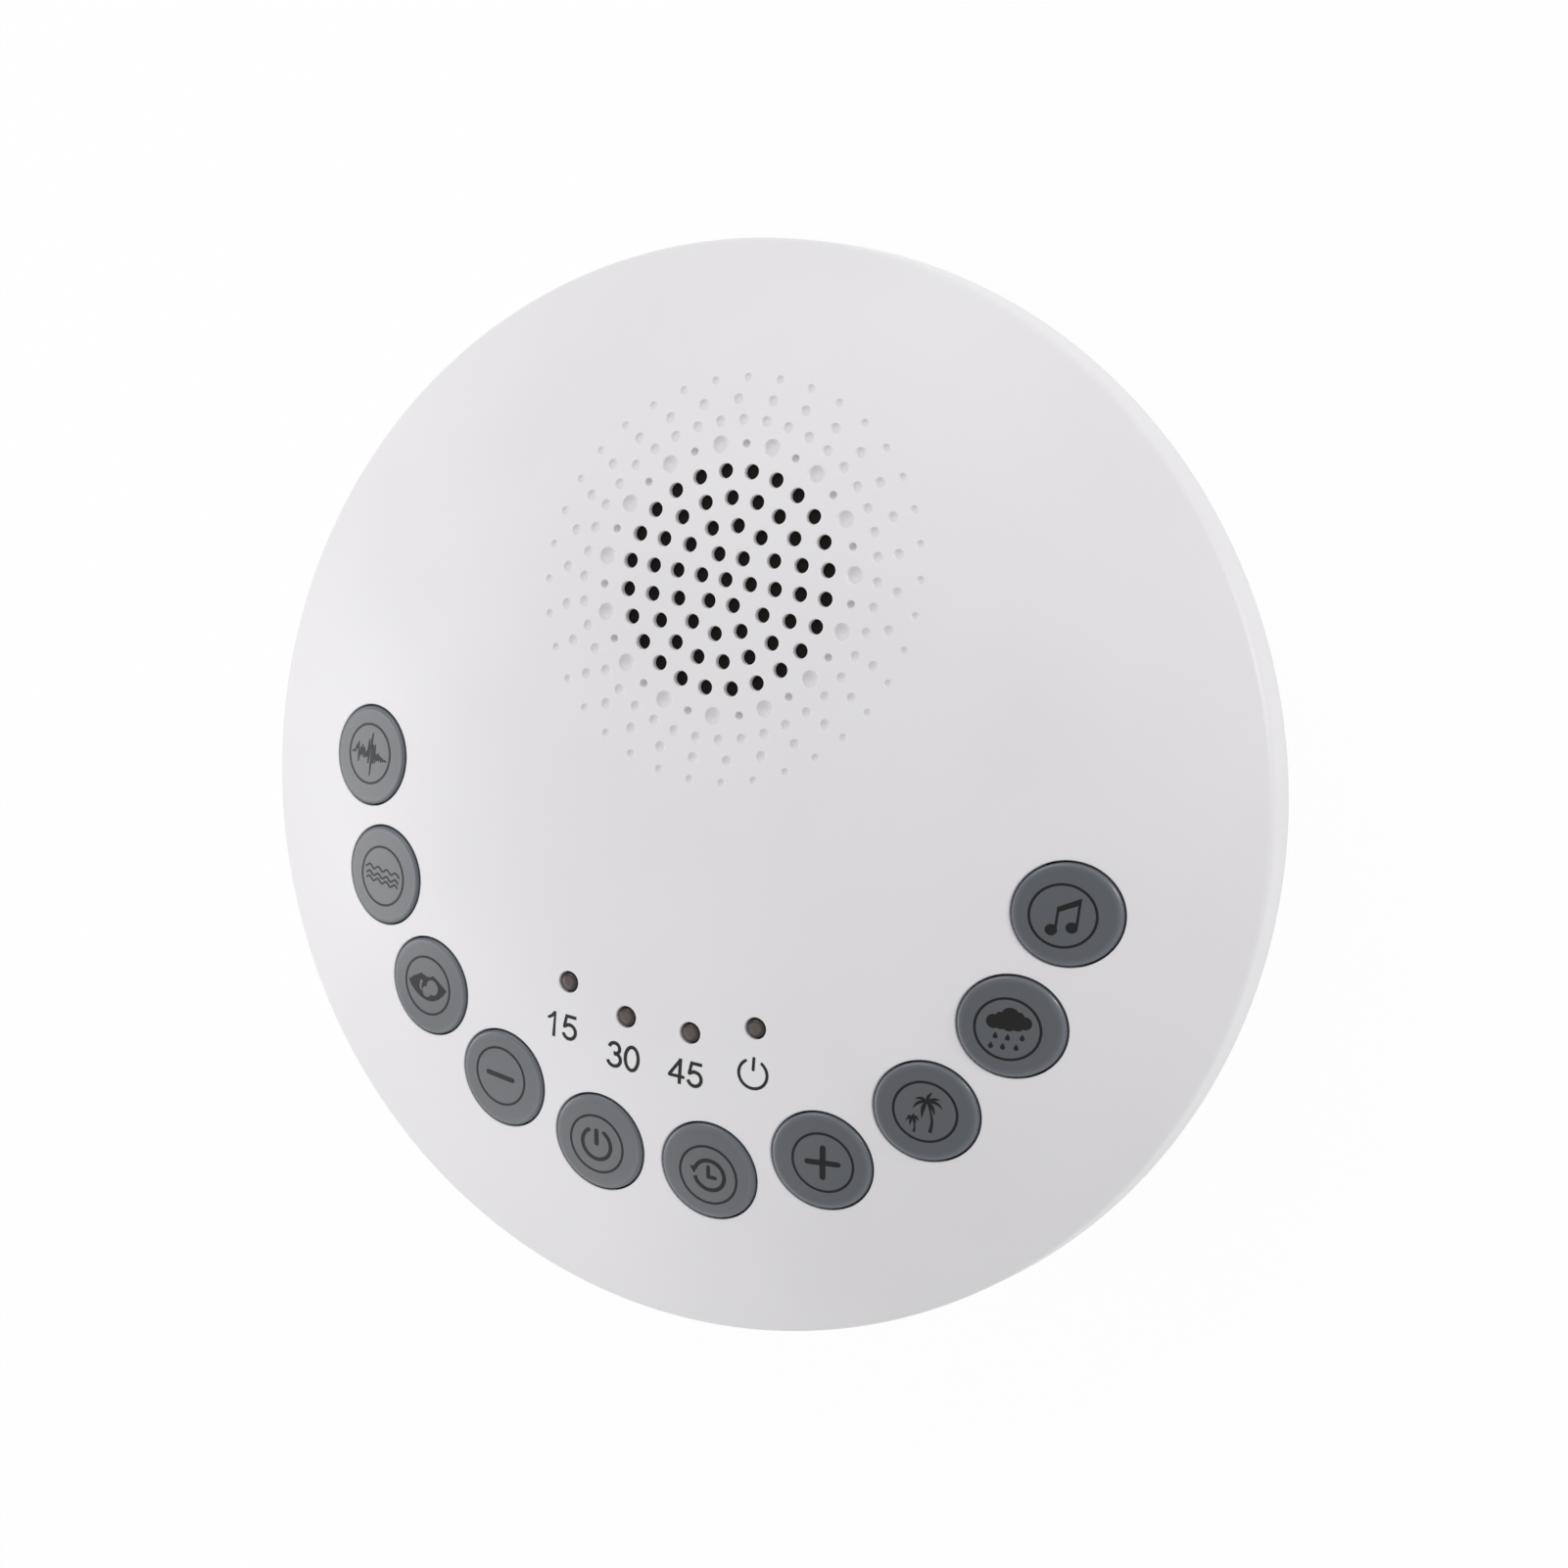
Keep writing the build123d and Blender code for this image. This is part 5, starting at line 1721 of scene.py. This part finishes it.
@dataclass
class Studio:
    """Pale floor, soft lights, white surroundings and the camera."""

    camera_place: tuple[float, float, float] = (0.19283, 0.06951, 0.45636)
    camera_axes: tuple[tuple[float, float, float], ...] = (
        (0.89475, 0.15295, -0.41956),
        (-0.19896, 0.97765, -0.06789),
        (0.39980, 0.14422, 0.90519),
    )
    lens: float = 95.39
    sensor: float = 36.0
    near: float = 0.01
    floor_size: float = 4.0
    floor_shade: Colour = shade(250, 250, 250)
    floor_roughness: float = 0.9
    shadow_share: float = 0.04
    sky: float = 0.6
    aim: tuple[float, float, float] = (0.0, 0.0, 0.03)
    lights: tuple[SoftLight, ...] = (
        SoftLight("left_softbox", (-0.92, -0.26, 0.335), 0.52, 1.85),
        SoftLight("front_softbox", (-0.55, -0.8, 0.42), 0.7, 1.42),
        SoftLight("top_softbox", (-0.34, 0.84, 0.83), 0.9, 3.8),
        SoftLight("right_softbox", (0.91, 0.42, 0.035), 0.09, 2.45),
    )

    def camera(self) -> None:
        """Makes the camera."""
        data = bpy.data.cameras.new("camera")
        data.lens = self.lens
        data.sensor_width = self.sensor
        data.clip_start = self.near
        camera = bpy.data.objects.new("camera", data)
        bpy.context.scene.collection.objects.link(camera)
        right, up, back = (Vector(axis).normalized() for axis in self.camera_axes)
        place = Matrix((right, up, back)).transposed().to_4x4()
        place.translation = self.camera_place
        camera.matrix_world = place
        bpy.context.scene.camera = camera

    def background_rays(self, wire: Wiring) -> bpy.types.NodeSocket:
        """One for rays that show the background: those of the camera, of gloss and of glass.

        Args:
            wire: wiring of the material or the world.

        Returns:
            The result.
        """
        path = wire.add("ShaderNodeLightPath").outputs
        seen = wire.math("MAXIMUM", path["Is Camera Ray"], path["Is Glossy Ray"])
        return wire.math("MAXIMUM", seen, path["Is Transmission Ray"])

    def floor(self) -> None:
        """Makes the floor, white to the camera but for a share of the shadow on it."""
        half = self.floor_size / 2
        mesh = bpy.data.meshes.new("floor")
        corners = [(-half, -half, 0.0), (half, -half, 0.0), (half, half, 0.0), (-half, half, 0.0)]
        mesh.from_pydata(corners, [], [(0, 1, 2, 3)])
        piece = bpy.data.objects.new("floor", mesh)
        bpy.context.scene.collection.objects.link(piece)
        material = bpy.data.materials.new("studio_floor")
        material.use_nodes = True
        wire = Wiring(material.node_tree)
        plain = material.node_tree.nodes["Principled BSDF"]
        plain.inputs["Base Color"].default_value = (*self.floor_shade, 1.0)
        plain.inputs["Roughness"].default_value = self.floor_roughness
        plain.inputs["Specular IOR Level"].default_value = 0.0
        white = wire.add("ShaderNodeEmission", {"Color": (1.0, 1.0, 1.0, 1.0), "Strength": 1.0})
        share = wire.math("MULTIPLY", self.background_rays(wire), 1.0 - self.shadow_share)
        mixed = wire.add("ShaderNodeMixShader", {0: share, 1: plain.outputs[0], 2: white.outputs[0]})
        wire.link(mixed.outputs[0], material.node_tree.nodes["Material Output"].inputs["Surface"])
        mesh.materials.append(material)

    def surroundings(self) -> None:
        """Makes the even light from all round, which the camera sees as white."""
        world = bpy.data.worlds.new("studio")
        world.use_nodes = True
        bpy.context.scene.world = world
        wire = Wiring(world.node_tree)
        background = world.node_tree.nodes["Background"]
        background.inputs["Color"].default_value = (1.0, 1.0, 1.0, 1.0)
        strength = wire.math("MULTIPLY_ADD", self.background_rays(wire), 1.0 - self.sky, self.sky)
        wire.link(strength, background.inputs["Strength"])

    def lamps(self) -> None:
        """Makes the soft lights."""
        for light in self.lights:
            data = bpy.data.lights.new(light.name, "AREA")
            data.energy = light.power
            data.size = light.size
            lamp = bpy.data.objects.new(light.name, data)
            lamp.location = light.place
            aim = Vector(self.aim) - Vector(light.place)
            lamp.rotation_euler = aim.to_track_quat("-Z", "Y").to_euler()
            bpy.context.scene.collection.objects.link(lamp)

    def build(self) -> None:
        """Sets up the whole studio."""
        self.camera()
        self.floor()
        self.surroundings()
        self.lamps()
        bpy.context.scene.view_settings.view_transform = "Standard"
        log.info("studio: %d lights", len(self.lights))


def main() -> None:
    """Builds every sub-assembly in order and notes the sizes."""
    logging.basicConfig(level=logging.INFO, format="%(name)s %(message)s")
    paints = Paintbox(FINISHES)
    paints.dress_nodes()
    raiser = Raiser(DOME)
    case_top = CaseTop(raiser, paints)
    case_top.build()
    KeyPad(raiser, paints, case_top.arc_places(case_top.key_arc)).build()
    LampLabels(raiser, paints).build()
    Studio().build()


if __name__ == "__main__":
    main()
